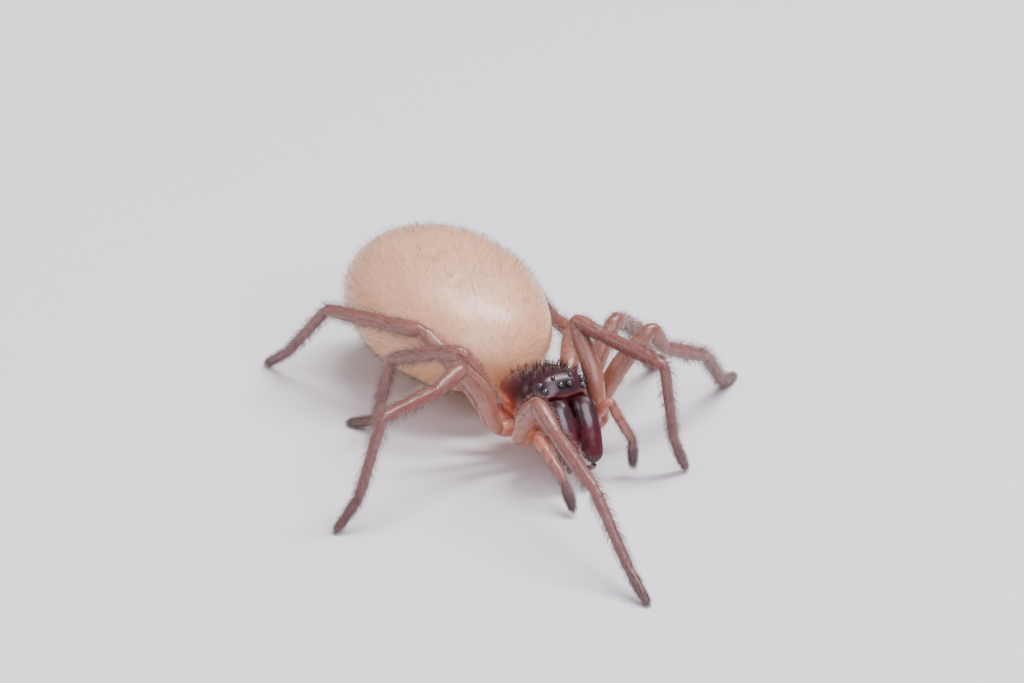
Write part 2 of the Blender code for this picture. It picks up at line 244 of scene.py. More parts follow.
@dataclass
class Surface:
    """A closed surface as a function of u, once round, and v, from one end to the other.

    Attributes:
        shape: Gives the points of arrays u and v, in millimetres.
        relief: Gives a height above the shape, along its outward normal, from u, v and the points.
        sign: 1 where u crossed with v points out, and -1 where it points in.
        cells: Cells round and along, which scatter draws from.
    """

    shape: Shape
    relief: Reading | None = None
    sign: float = field(init=False)
    cells: tuple[int, int] = (64, 160)

    def __post_init__(self) -> None:
        """Finds which way is out, from the signed volume of a coarse grid."""
        u, v = np.meshgrid(np.linspace(0, 1, 25)[:-1], np.linspace(0.02, 0.98, 24))
        grid = self.shape(u, v)
        corners = [grid[:-1], np.roll(grid, -1, 1)[:-1], np.roll(grid, -1, 1)[1:], grid[1:]]
        middle = grid.mean((0, 1))
        a, b, c, d = (corner - middle for corner in corners)
        volume = (np.cross(a, b) * c).sum() + (np.cross(a, c) * d).sum()
        self.sign = math.copysign(1.0, volume)

    def _ways(self, u: Array, v: Array) -> tuple[Array, Array]:
        """The outward normal and the direction along, before any relief, by central differences.

        Args:
            u: Share of a turn round the surface.
            v: Share of the way along it.

        Returns:
            Both, as unit vectors.
        """
        step = 1e-3
        v = np.clip(v, 2 * step, 1 - 2 * step)
        across = self.shape(u + step, v) - self.shape(u - step, v)
        along = self.shape(u, v + step) - self.shape(u, v - step)
        return unit(np.cross(across, along)) * self.sign, unit(along)

    def at(self, u: Array, v: Array) -> Array:
        """The surface's points, with its relief.

        Args:
            u: Share of a turn round the surface.
            v: Share of the way along it.

        Returns:
            The points, in millimetres.
        """
        points = self.shape(u, v)
        if self.relief is None:
            return points
        return points + self._ways(u, v)[0] * self.relief(u, v, points)[..., None]

    def frame(self, u: Array, v: Array) -> tuple[Array, Array, Array]:
        """The points with relief, the outward normals and the unit directions along the surface."""
        return self.at(u, v), *self._ways(u, v)

    def scatter(self, count: int, rng: np.random.Generator,
                weight: Reading | None = None) -> tuple[Array, Array]:
        """Picks places spread evenly over the surface, or in proportion to a weight.

        The surface is cut into small cells, a cell is drawn with a chance in proportion to its area times its
        weight, and the place is drawn inside it.

        Args:
            count: How many places.
            rng: The source of random draws.
            weight: Gives each place's weight from u, v and its point.

        Returns:
            The u and v of each place.
        """
        around, along = self.cells
        u, v = np.meshgrid(np.linspace(0, 1, around + 1), np.linspace(0, 1, along + 1))
        grid = self.shape(u, v)
        area = np.linalg.norm(np.cross(grid[1:, 1:] - grid[:-1, :-1], grid[1:, :-1] - grid[:-1, 1:]), axis=-1)
        if weight is not None:
            middle_u, middle_v = u[:-1, :-1] + 0.5 / around, v[:-1, :-1] + 0.5 / along
            area = area * weight(middle_u, middle_v, self.shape(middle_u, middle_v))
        chance = area.ravel() / area.sum()
        cell = rng.choice(chance.size, count, p=chance)
        row, column = np.divmod(cell, around)
        return (column + rng.random(count)) / around, (row + rng.random(count)) / along


@dataclass
class Sweep:
    """A round body carried along a line.

    Attributes:
        line: Points along the middle, in millimetres.
        place: A number for each point, such as bones passed, which the radii are read by.
        girth: Gives the radius from the place and the turn round the line.
        root: Length of the rounded closing at the near end.
        tip: Length of the rounded closing at the far end.
        upward: Roughly the upper side's direction at the near end.
        travel: Distance gone at each point of the line.
        way: Direction along the line at each point.
        over: Direction to the upper side at each point.
    """

    line: Array
    place: Array
    girth: Shape
    root: float = 0.1
    tip: float = 0.1
    upward: tuple = (0.0, 0.0, 1.0)
    travel: Array = field(init=False)
    way: Array = field(init=False)
    over: Array = field(init=False)

    def __post_init__(self) -> None:
        """Works out distances, directions and the upper side, which turns as little as it can on the way."""
        steps = np.linalg.norm(np.diff(self.line, axis=0), axis=1)
        self.travel = np.concatenate([[0], np.cumsum(steps)])
        self.way = unit(np.gradient(self.line, axis=0))
        over = np.zeros_like(self.line)
        current = np.array(self.upward, float)
        for k, way in enumerate(self.way):
            current = current - way * (current @ way)
            current /= np.linalg.norm(current)
            over[k] = current
        self.over = over

    def read(self, values: Array, travelled: Array) -> Array:
        """Reads an array of the line at distances along it.

        Args:
            values: A number or a vector for each point of the line.
            travelled: Distances along the line.

        Returns:
            The values at those distances.
        """
        if values.ndim == 1:
            return np.interp(travelled, self.travel, values)
        return np.stack([np.interp(travelled, self.travel, values[:, k]) for k in range(values.shape[1])], -1)

    def place_at(self, v: Array) -> Array:
        """The place, such as bones passed, at v."""
        return self.read(self.place, np.asarray(v) * self.travel[-1])

    def shape(self, u: Array, v: Array) -> Array:
        """The point at the middle of the ring, plus its radius along the turned side and upper directions.

        Both ends close as a quarter circle: the radius there is scaled by the root of 1 minus the square of
        how far inside the last radius the place is.

        Args:
            u: Share of a turn round the surface.
            v: Share of the way along it.

        Returns:
            The points, in millimetres.
        """
        u, v = np.broadcast_arrays(np.asarray(u, float), np.asarray(v, float))
        travelled = v * self.travel[-1]
        turn = u * TURN
        centre, way, over = (self.read(a, travelled) for a in (self.line, self.way, self.over))
        way, over = unit(way), unit(over)
        across = np.cross(over, way)
        radius = self.girth(self.read(self.place, travelled), turn)
        for gone, size in ((travelled, self.root), (self.travel[-1] - travelled, self.tip)):
            inside = np.clip(1 - gone / size, 0, 1)
            radius = radius * np.sqrt(1 - inside ** 2)
        return (centre + across * (radius * np.cos(turn))[..., None]
                + over * (radius * np.sin(turn))[..., None])


def mesh_object(name: str, points: Array, faces: list[Array], marks: dict[str, Array] | None = None,
                uv: Array | None = None) -> bpy.types.Object:
    """Makes an object from arrays, smooth shaded and at the origin.

    Args:
        name: The piece's name.
        points: Points as (forward, left, up) in millimetres.
        faces: Arrays of corner numbers, one row a face, each array with its own count of corners.
        marks: Numbers for each point that the materials read, by name.
        uv: A place on the bake map for each point.

    Returns:
        The new object, linked to the scene.
    """
    mesh = bpy.data.meshes.new(name)
    corners = np.concatenate([f.ravel() for f in faces]).astype(np.int32)
    sizes = np.concatenate([np.full(len(f), f.shape[1]) for f in faces]).astype(np.int32)
    mesh.vertices.add(len(points))
    mesh.vertices.foreach_set("co", to_frame(points).astype(np.float32).ravel())
    mesh.loops.add(len(corners))
    mesh.loops.foreach_set("vertex_index", corners)
    mesh.polygons.add(len(sizes))
    mesh.polygons.foreach_set("loop_start", np.concatenate([[0], np.cumsum(sizes)[:-1]]).astype(np.int32))
    for mark, values in (marks or {}).items():
        layer = mesh.attributes.new(mark, "FLOAT", "POINT")
        layer.data.foreach_set("value", np.asarray(values, np.float32).ravel())
    if uv is not None:
        layer = mesh.uv_layers.new(name="OFBake")
        layer.data.foreach_set("uv", uv[corners].astype(np.float32).ravel())
    mesh.update(calc_edges=True)
    mesh.validate()
    mesh.shade_smooth()
    made = bpy.data.objects.new(name, mesh)
    bpy.context.scene.collection.objects.link(made)
    return made


def skin(name: str, surface: Surface, around: int, stops: Array,
         marks: Marks | None = None) -> bpy.types.Object:
    """A closed mesh of a surface: a ring at each stop and a fan of triangles at each end.

    Args:
        name: The piece's name.
        surface: The surface.
        around: Points in a ring.
        stops: The v of each ring, rising, inside 0 and 1.
        marks: Gives the numbers that the materials read, from u, v and the points.

    Returns:
        The new object.
    """
    u, v = np.meshgrid(np.arange(around) / around, stops)
    points = surface.at(u, v)
    ends = np.array([surface.at(np.array([0.0, 0.5]), np.array([w, w])).mean(0) for w in (0.0, 1.0)])
    here = np.arange(around)
    after = np.roll(here, -1)
    starts = np.arange(len(stops) - 1)[:, None] * around
    first, second = starts + here, starts + after
    quads = np.stack([first, second, second + around, first + around], -1).reshape(-1, 4)
    last, pole = starts[-1, 0] + around, np.full(around, len(stops) * around)
    fans = np.concatenate([np.stack([pole, after, here], 1),
                           np.stack([pole + 1, here + last, after + last], 1)])
    if surface.sign < 0:
        quads, fans = quads[:, ::-1], fans[:, ::-1]
    numbers = {}
    if marks is not None:
        read = marks(u, v, points)
        at_ends = marks(np.zeros(2), np.array([0.0, 1.0]), ends)
        numbers = {key: np.concatenate([np.ravel(read[key]), np.ravel(at_ends[key])]) for key in read}
    return mesh_object(name, np.concatenate([points.reshape(-1, 3), ends]), [quads, fans], numbers)


def along_mark(u: Array, v: Array, points: Array) -> dict[str, Array]:
    """The share of a piece's length gone, for a skin's material."""
    return {"along": v}


def rings(count: int, bunch: float = 0.5) -> Array:
    """Stops for a skin, closer together towards both ends: a mix of even steps and steps of a half circle."""
    even = np.linspace(0, 1, count + 2)[1:-1]
    return even * (1 - bunch) + (1 - np.cos(even * np.pi)) / 2 * bunch


@dataclass
class Hairs:
    """Hairs to be made as one mesh. Each array has one row or number a hair, and lengths are in millimetres.

    Attributes:
        roots: Where each hair leaves the skin.
        out: The skin's normal there.
        lie: The way that the hair lies over the skin.
        length: Its length.
        radius: Its radius at the root.
        lift: Its angle from the skin, in radians.
        place: Its root's place on the bake map.
    """

    roots: Array
    out: Array
    lie: Array
    length: Array
    radius: Array
    lift: Array
    place: Array

    def bend(self, share: float) -> Array:
        """How far each tip is drawn aside: along its lie by this share of its length, and down by its sag."""
        return self.lie * (self.length * share)[:, None] + np.array((0, 0, -SAG)) * self.length[:, None]


def hair_mesh(name: str, hairs: Hairs, bend: Array, shade: Array, floor: float,
              ceiling: float) -> bpy.types.Object:
    """Many tapered, bent, three-sided hairs, each a closed body with its root sunk in the skin.

    A hair's middle runs from its root along its first direction, and bends aside as the square of the
    distance gone. Two rings of three points and a tip stand on that middle, so a hair has ten triangles.
    Its patch on the bake map lies where its root lies on the skin.

    Args:
        name: The piece's name.
        hairs: The hairs.
        bend: How far each tip is moved aside, in millimetres.
        shade: A random number a hair, which the material reads.
        floor: Lowest height that a point may have.
        ceiling: Highest height that a point may have.

    Returns:
        The new object.
    """
    first = unit(hairs.out * np.sin(hairs.lift)[:, None] + hairs.lie * np.cos(hairs.lift)[:, None])
    # The small offset keeps this product from 0 where a hair stands straight out of the skin.
    side = unit(np.cross(first, hairs.out + np.array([0.013, 0.021, 0.007])))
    other = np.cross(first, side)
    count = len(first)
    turns = np.arange(3) * TURN / 3
    ring = side[:, None] * np.cos(turns)[:, None] + other[:, None] * np.sin(turns)[:, None]
    points, uv, tips = [], [], []
    for part, width, spread in ((-0.08, 1.0, 0.0015), (0.5, 0.72, 0.0008)):
        middle = hairs.roots + first * (hairs.length * part)[:, None] + bend * max(part, 0) ** 2
        points.append(middle[:, None] + ring * (hairs.radius * width)[:, None, None])
        uv.append(hairs.place[:, None] + np.stack([np.cos(turns), np.sin(turns)], 1) * spread)
        tips.append(np.full((count, 3), max(part, 0)))
    points.append((hairs.roots + first * hairs.length[:, None] + bend)[:, None])
    uv.append(hairs.place[:, None])
    tips.append(np.ones((count, 1)))
    points, uv, tips = np.concatenate(points, 1), np.concatenate(uv, 1), np.concatenate(tips, 1)
    points[..., 2] = np.clip(points[..., 2], floor, ceiling)
    each = points.shape[1]
    start = np.arange(count)[:, None, None] * each
    quads = start + np.array([[0, 1, 4, 3], [1, 2, 5, 4], [2, 0, 3, 5]])
    triangles = start + np.array([[3, 4, 6], [4, 5, 6], [5, 3, 6], [2, 1, 0]])
    return mesh_object(name, points.reshape(-1, 3), [quads.reshape(-1, 4), triangles.reshape(-1, 3)],
                       {"tip": tips, "shade": np.repeat(shade, each)}, uv.reshape(-1, 2))


class Signal:
    """A shader socket that can be used in sums. Each sum adds the Math node that works it out."""

    def __init__(self, bench: "Bench", socket: bpy.types.NodeSocket) -> None:
        """Keeps the socket and the bench that it belongs to."""
        self.bench = bench
        self.socket = socket

    def _math(self, operation: str, *values: "Signal | float") -> "Signal":
        """One Math node on these values."""
        return self.bench.node("ShaderNodeMath", {"operation": operation}, dict(enumerate(values)))

    def __add__(self, other: "Signal | float") -> "Signal":
        """self + other."""
        return self._math("ADD", self, other)

    __radd__ = __add__

    def __sub__(self, other: "Signal | float") -> "Signal":
        """self - other."""
        return self._math("SUBTRACT", self, other)

    def __rsub__(self, other: float) -> "Signal":
        """other - self."""
        return self._math("SUBTRACT", other, self)

    def __mul__(self, other: "Signal | float") -> "Signal":
        """self * other."""
        return self._math("MULTIPLY", self, other)

    __rmul__ = __mul__

    def clamp(self) -> "Signal":
        """Cuts the value to 0 to 1."""
        return self.bench.node("ShaderNodeClamp", {}, {0: self})

    def span(self, low: float, high: float, to_low: float = 0.0, to_high: float = 1.0) -> "Signal":
        """Maps low to high onto another range, eased at both ends."""
        return self.bench.node("ShaderNodeMapRange", {"interpolation_type": "SMOOTHSTEP"},
                               {0: self, 1: low, 2: high, 3: to_low, 4: to_high})


class Bench:
    """Builds one material's nodes."""

    def __init__(self, name: str, constants: dict[str, float | tuple]) -> None:
        """Starts a material.

        Args:
            name: The material's name.
            constants: Fixed values for the sockets of its Principled shader.
        """
        self.material = bpy.data.materials.new(name)
        self.material.use_nodes = True
        self.tree = self.material.node_tree
        self.shader = self.tree.nodes["Principled BSDF"]
        for key, value in constants.items():
            self.shader.inputs[key].default_value = value
        self.where = self.node("ShaderNodeTexCoord", {}, {}, "Object")

    def node(self, kind: str, settings: dict, sockets: dict, output: int | str = 0) -> Signal:
        """Adds any node.

        Args:
            kind: The node's type.
            settings: Its settings, set first. "stops" fills a colour ramp with (place, colour).
            sockets: Values or signals for its inputs, by number or name.
            output: Which output to return.

        Returns:
            That output.
        """
        made = self.tree.nodes.new(kind)
        for key, value in settings.items():
            if key == "stops":
                self._fill_ramp(made.color_ramp, value)
            else:
                setattr(made, key, value)
        for key, value in sockets.items():
            if isinstance(value, Signal):
                self.tree.links.new(value.socket, made.inputs[key])
            else:
                made.inputs[key].default_value = value
        return Signal(self, made.outputs[output])

    @staticmethod
    def _fill_ramp(ramp: bpy.types.ColorRamp, stops: tuple) -> None:
        """Gives a ramp exactly these stops.

        Args:
            ramp: The ramp.
            stops: Its stops, as (place, colour).
        """
        while len(ramp.elements) < len(stops):
            ramp.elements.new(0.5)
        for element, (place, colour) in zip(ramp.elements, stops):
            element.position = place
            element.color = (*colour, 1)

    def mark(self, name: str) -> Signal:
        """A number that the mesh carries for each point."""
        return self.node("ShaderNodeAttribute", {"attribute_name": name}, {}, "Fac")

    def noise(self, size: float, detail: float = 3.0, rough: float = 0.55) -> Signal:
        """Soft random mottling whose patches are about this many millimetres wide."""
        return self.node("ShaderNodeTexNoise", {}, {"Vector": self.where, "Scale": 0.6 / (size * MM),
                                                    "Detail": detail, "Roughness": rough})

    def cells(self, size: float) -> Signal:
        """Distance from the middle of the nearest cell, in a pattern about this many millimetres wide."""
        return self.node("ShaderNodeTexVoronoi", {}, {"Vector": self.where, "Scale": 1 / (size * MM)},
                         "Distance")

    def ramp(self, value: Signal, stops: tuple) -> Signal:
        """A colour read from (place, colour) stops."""
        return self.node("ShaderNodeValToRGB", {"stops": stops}, {0: value})

    def mix(self, part: Signal, first: Signal | Colour, second: Signal | Colour) -> Signal:
        """Mixes two colours."""
        full = [c if isinstance(c, Signal) else (*c, 1) for c in (first, second)]
        return self.node("ShaderNodeMix", {"data_type": "RGBA"}, {0: part, 6: full[0], 7: full[1]}, 2)

    def link(self, **signals: Signal) -> None:
        """Feeds signals to the shader's sockets, whose names are written with _ for a space."""
        for key, signal in signals.items():
            self.tree.links.new(signal.socket, self.shader.inputs[key.replace("_", " ")])

    def bump(self, height: Signal, depth: float) -> None:
        """Feeds a height, 0 to 1, to the normal as relief of this depth in millimetres."""
        self.link(Normal=self.node("ShaderNodeBump", {}, {"Strength": 1.0, "Distance": depth * MM,
                                                          "Height": height}, "Normal"))


@dataclass(frozen=True)
class Finish:
    """A surface finish. Each kind builds its own material.

    Attributes:
        name: The material's name.
        roughness: Roughness of the surface.
        coat: Weight of the clear layer.
        coat_roughness: Roughness of the clear layer.
        glow: Weight of the light scattered under the surface.
        depth: How far that light travels, in millimetres.
        tint: How far red, green and blue light travels, against each other.
        shine: Strength of the reflection under the clear layer, as the shader's own level.
        index: Refractive index of the clear layer.
    """

    name: str
    roughness: float = 0.4
    coat: float = 0.0
    coat_roughness: float = 0.12
    glow: float = 0.0
    depth: float = 0.4
    tint: Colour = (1.0, 0.4, 0.2)
    shine: float = 0.5
    index: float = 1.5

    def bench(self) -> Bench:
        """Starts the material with the finish's fixed values.

        Returns:
            The bench that the material is built on.
        """
        return Bench(self.name, {
            "Roughness": self.roughness, "Coat Weight": self.coat, "Coat Roughness": self.coat_roughness,
            "Subsurface Weight": self.glow, "Subsurface Scale": self.depth * MM,
            "Subsurface Radius": self.tint, "Specular IOR Level": self.shine,
            "Coat IOR": self.index})

    def build(self) -> bpy.types.Material:
        """Makes the material."""
        raise NotImplementedError


@dataclass(frozen=True)
class AbdomenFinish(Finish):
    """Cream skin with a satin sheen: pinker on top, golden below, finely mottled.

    Attributes:
        cream: Colour of the flanks.
        pink: Colour of the back.
        golden: Colour of the belly and of the fine grain.
        fawn: Colour of the mottling.
    """

    cream: Colour = (0.74, 0.375, 0.190)
    pink: Colour = (0.70, 0.375, 0.220)
    golden: Colour = (0.78, 0.335, 0.130)
    fawn: Colour = (0.58, 0.26, 0.125)

    def build(self) -> bpy.types.Material:
        """Mixes the colours by height and by mottling, and adds the skin's fine grain.

        Returns:
            The finished material.
        """
        make = self.bench()
        height, mottle, fine = make.mark("height"), make.noise(1.6, 4), make.noise(0.16, 3, 0.6)
        colour = make.ramp(height, ((0.0, self.golden), (0.42, self.cream), (0.85, self.pink)))
        colour = make.mix(mottle.span(0.42, 0.72, 0.0, 0.20), colour, self.fawn)
        colour = make.mix(fine.span(0.45, 0.75, 0.0, 0.18), colour, self.golden)
        pores = make.cells(0.17).span(0.02, 0.22, 0.5, 0.0)
        colour = make.mix(pores * 0.25, colour, self.fawn)
        make.link(Base_Color=colour, Roughness=self.roughness + fine.span(0.3, 0.7, -0.05, 0.07))
        make.bump(make.noise(0.09, 2) * 0.5 + mottle * 0.6 - pores * 0.4, 0.012)
        return make.material


@dataclass(frozen=True)
class ShellFinish(Finish):
    """Glossy shell, near black at the head and red brown to orange at the sides.

    Attributes:
        dark: Colour of the head and the middle of the back.
        maroon: Colour above the sides.
        red: Colour of the sides.
        orange: Colour low on the sides.
        edge: Colour of the edge.
        lip: Colour of the rim above the jaws.
        mask: Colour of the patches round the eyes.
    """

    dark: Colour = (0.034, 0.005, 0.010)
    maroon: Colour = (0.085, 0.010, 0.013)
    red: Colour = (0.19, 0.024, 0.014)
    orange: Colour = (0.46, 0.080, 0.030)
    edge: Colour = (0.74, 0.25, 0.14)
    lip: Colour = (0.15, 0.014, 0.013)
    mask: Colour = (0.004, 0.003, 0.004)

    def build(self) -> bpy.types.Material:
        """Reads how far down the side and how far towards the face a point is, the lip and the eye patch.

        Returns:
            The finished material.
        """
        make = self.bench()
        rim, ahead, streak = make.mark("rim"), make.mark("ahead"), make.noise(0.5, 4)
        low = (rim + streak.span(0.3, 0.7, -0.06, 0.06) - ahead.span(0.45, 0.85, 0.0, 0.75)).clamp()
        colour = make.ramp(low, ((0.0, self.dark), (0.30, self.maroon), (0.66, self.red), (0.80, self.orange),
                                 (0.88, self.edge), (1.0, self.edge)))
        lip = make.mark("lip").span(0.25, 0.95, 0.0, 0.9) * streak.span(0.35, 0.6, 0.45, 1.0)
        mask = make.mark("mask")
        colour = make.mix(mask.span(0.15, 0.8, 0.0, 0.95), make.mix(lip, colour, self.lip), self.mask)
        make.link(Base_Color=colour, Roughness=self.roughness + streak.span(0.3, 0.7, -0.04, 0.08),
                  Coat_Weight=self.coat - mask * (0.9 * self.coat))
        make.bump(make.noise(0.07, 3) * 0.6 + make.cells(0.09) * 0.5, 0.006)
        return make.material


@dataclass(frozen=True)
class JawFinish(Finish):
    """Very glossy black maroon, redder towards the end, with fine cross lines.

    Attributes:
        black: Colour at the base.
        wine: Colour towards the end.
        ridge_scale: Scale of the wave that makes the cross lines.
    """

    black: Colour = (0.026, 0.003, 0.007)
    wine: Colour = (0.080, 0.005, 0.012)
    ridge_scale: float = 3400.0

    def build(self) -> bpy.types.Material:
        """Reads how far along the jaw a point is. Its base is dull, and its middle is the glossiest.

        Returns:
            The finished material.
        """
        make = self.bench()
        along, patches = make.mark("along"), make.noise(0.35, 4)
        share = (along.span(0.25, 0.60) * 0.75 + patches.span(0.35, 0.7, -0.2, 0.35)
                 - along.span(0.82, 1.0, 0.0, 0.7)).clamp()
        rough = self.roughness + patches.span(0.3, 0.7, -0.03, 0.10) + along.span(0.0, 0.12, 0.35, 0.0)
        gloss = along.span(0.08, 0.22, 0.05 * self.coat, self.coat) * along.span(0.32, 0.60, 1.0, 0.30)
        make.link(Base_Color=make.mix(share, self.black, self.wine), Roughness=rough, Coat_Weight=gloss)
        ridges = make.node("ShaderNodeTexWave", {"wave_type": "BANDS", "bands_direction": "Z"},
                           {"Vector": make.where, "Scale": self.ridge_scale, "Distortion": 4.0,
                            "Detail": 2.0, "Detail Scale": 1.5}, "Fac")
        make.bump(ridges * along.span(0.15, 0.6, 0.05, 0.5) + make.cells(0.10) * 0.6, 0.007)
        return make.material


@dataclass(frozen=True)
class LimbFinish(Finish):
    """Translucent limb skin, coloured along the limb, darker at the joints, with painted shade along its
    upper edge.

    Attributes:
        stops: Colours along the limb, as (place, colour).
        span: First and last place.
        joint: Colour of the joints and the mottling, and of the painted shade along the upper edge.
    """

    stops: tuple = ()
    span: tuple[float, float] = (-1.0, 5.0)
    joint: Colour = (0.17, 0.040, 0.025)

    def build(self) -> bpy.types.Material:
        """Reads the place along the limb, the closeness of a joint and how high on its ring a point is.

        Returns:
            The finished material.
        """
        make = self.bench()
        low, high = self.span
        along = (make.mark("along") - low) * (1 / (high - low))
        joint, over, mottle = make.mark("joint"), make.mark("over"), make.noise(0.35, 4)
        colour = make.ramp(along, tuple(((p - low) / (high - low), c) for p, c in self.stops))
        colour = make.mix(joint * 0.60, colour, self.joint)
        colour = make.mix(mottle.span(0.4, 0.75, 0.0, 0.22), colour, self.joint)
        # Painted shade: the upper side of each ring is darkened towards the joint colour, standing in for the
        # dark outline that translucent skin shows at its edges.
        colour = make.mix(over.span(0.35, 1.0, 0.0, 0.16), colour, self.joint)
        make.link(Base_Color=colour, Roughness=self.roughness + mottle.span(0.3, 0.7, -0.05, 0.10))
        make.bump(make.noise(0.12) * 0.7 + make.cells(0.08) * 0.5, 0.008)
        return make.material


@dataclass(frozen=True)
class FleshFinish(Finish):
    """Wet orange red skin between the plates, with soft folds.

    Attributes:
        coral: The lighter red.
        deep: The darker red.
    """

    coral: Colour = (0.72, 0.27, 0.155)
    deep: Colour = (0.42, 0.085, 0.045)

    def build(self) -> bpy.types.Material:
        """Mixes two reds by soft patches and folds.

        Returns:
            The finished material.
        """
        make = self.bench()
        folds = make.noise(0.5, 4)
        make.link(Base_Color=make.mix(folds.span(0.40, 0.78), self.coral, self.deep))
        make.bump(folds + make.noise(0.1, 3) * 0.3, 0.03)
        return make.material


@dataclass(frozen=True)
class LensFinish(Finish):
    """A glossy lens, clearer in the middle and dark at its rim.

    Attributes:
        middle: Colour of the middle.
        rim: Colour of the rim.
    """

    middle: Colour = (0.012, 0.012, 0.014)
    rim: Colour = (0.006, 0.004, 0.005)

    def build(self) -> bpy.types.Material:
        """Reads how far from the middle of the lens a point is.

        Returns:
            The finished material.
        """
        make = self.bench()
        edge = (make.mark("edge") + make.noise(0.08, 2).span(0.3, 0.7, -0.06, 0.06)).clamp()
        make.link(Base_Color=make.mix(edge.span(0.25, 0.75), self.middle, self.rim))
        return make.material


@dataclass(frozen=True)
class HairFinish(Finish):
    """Hair that is darker at the root than at the tip, and differs a little from hair to hair.

    Attributes:
        base: Colour at the root.
        end: Colour at the tip.
    """

    base: Colour = (0.10, 0.055, 0.035)
    end: Colour = (0.22, 0.13, 0.085)

    def build(self) -> bpy.types.Material:
        """Reads how far along a hair a point is, and the hair's own number.

        Returns:
            The finished material.
        """
        make = self.bench()
        tip, shade = make.mark("tip"), make.mark("shade")
        colour = make.mix((tip + shade * 0.5 - 0.2).clamp(), self.base, self.end)
        make.link(Base_Color=colour, Roughness=self.roughness + shade * 0.1)
        return make.material


@dataclass(frozen=True)
class FloorFinish(Finish):
    """A plain pale floor.

    Attributes:
        colour: Its colour.
        cloud: The colour that it fades to in places.
    """

    colour: Colour = (0.74, 0.72, 0.74)
    cloud: Colour = (0.68, 0.66, 0.69)

    def build(self) -> bpy.types.Material:
        """A single pale colour with the least unevenness.

        Returns:
            The finished material.
        """
        make = self.bench()
        part = make.noise(30.0, 2).span(0.3, 0.7, 0.0, 0.1)
        make.link(Base_Color=make.mix(part, self.colour, self.cloud))
        return make.material


# Colours along a leg by bones passed, and along a feeler by the share of its length.
LEG_COLOURS = (
    (-1.0, (0.60, 0.17, 0.095)), (-0.2, (0.48, 0.165, 0.100)), (0.15, (0.41, 0.170, 0.108)),
    (0.9, (0.28, 0.105, 0.072)), (1.6, (0.24, 0.082, 0.064)), (2.5, (0.23, 0.076, 0.066)),
    (3.4, (0.22, 0.080, 0.078)), (4.0, (0.19, 0.072, 0.074)), (4.6, (0.14, 0.060, 0.068)),
    (5.0, (0.09, 0.045, 0.055)),
)
PALP_COLOURS = (
    (0.0, (0.54, 0.15, 0.085)), (0.35, (0.50, 0.175, 0.12)), (0.62, (0.38, 0.150, 0.13)),
    (0.85, (0.22, 0.110, 0.115)), (1.0, (0.12, 0.070, 0.078)),
)


class Finishes:
    """All the materials, each made once."""

    def __init__(self) -> None:
        """Builds every material."""
        self.abdomen = AbdomenFinish(
            "abdomen_skin", roughness=0.46, coat=0.85, coat_roughness=0.30, glow=0.22, depth=0.7,
            tint=(1.0, 0.55, 0.3)).build()
        self.shell = ShellFinish(
            "carapace_shell", roughness=0.42, coat=0.62, coat_roughness=0.30, glow=0.06, depth=0.3,
            tint=(1.0, 0.15, 0.08), shine=0.15, index=1.7).build()
        self.jaw = JawFinish(
            "jaw_shell", roughness=0.38, coat=0.85, coat_roughness=0.27, shine=0.12, index=1.85).build()
        self.leg = LimbFinish(
            "leg_skin", roughness=0.38, coat=0.60, coat_roughness=0.27, glow=0.35, depth=0.40,
            tint=(1.0, 0.45, 0.3), stops=LEG_COLOURS).build()
        self.palp = LimbFinish(
            "palp_skin", roughness=0.36, coat=0.55, coat_roughness=0.24, glow=0.35, depth=0.30,
            tint=(1.0, 0.4, 0.3), stops=PALP_COLOURS, span=(0.0, 1.0)).build()
        self.flesh = FleshFinish(
            "flesh", roughness=0.28, coat=0.6, coat_roughness=0.12, glow=0.35, depth=0.4,
            tint=(1.0, 0.4, 0.25)).build()
        self.fang = JawFinish(
            "fang_shell", roughness=0.12, coat=0.9, coat_roughness=0.05, black=(0.010, 0.005, 0.006),
            wine=(0.03, 0.008, 0.010)).build()
        self.lens_dark = LensFinish("lens_dark", roughness=0.04, coat=1.0, coat_roughness=0.02).build()
        self.lens_pearl = LensFinish(
            "lens_pearl", roughness=0.06, coat=1.0, coat_roughness=0.02, glow=0.15, depth=0.05,
            tint=(1.0, 0.9, 1.0), middle=(0.035, 0.020, 0.026), rim=(0.008, 0.004, 0.006)).build()
        self.hair_abdomen = HairFinish("abdomen_hair", roughness=0.45).build()
        self.hair_leg = HairFinish(
            "leg_hair", roughness=0.42, base=(0.16, 0.080, 0.062), end=(0.40, 0.28, 0.24)).build()
        self.hair_black = HairFinish(
            "black_hair", roughness=0.60, base=(0.012, 0.007, 0.008), end=(0.05, 0.03, 0.03),
            shine=0.2).build()
        self.hair_dark = HairFinish(
            "dark_hair", roughness=0.40, base=(0.070, 0.042, 0.044), end=(0.22, 0.16, 0.165)).build()
        self.hair_jaw = HairFinish(
            "jaw_hair", roughness=0.40, base=(0.05, 0.022, 0.022), end=(0.26, 0.17, 0.15)).build()
        self.hair_gold = HairFinish(
            "golden_hair", roughness=0.30, base=(0.42, 0.26, 0.14), end=(0.85, 0.68, 0.46)).build()
        self.floor = FloorFinish("floor", roughness=0.75).build()


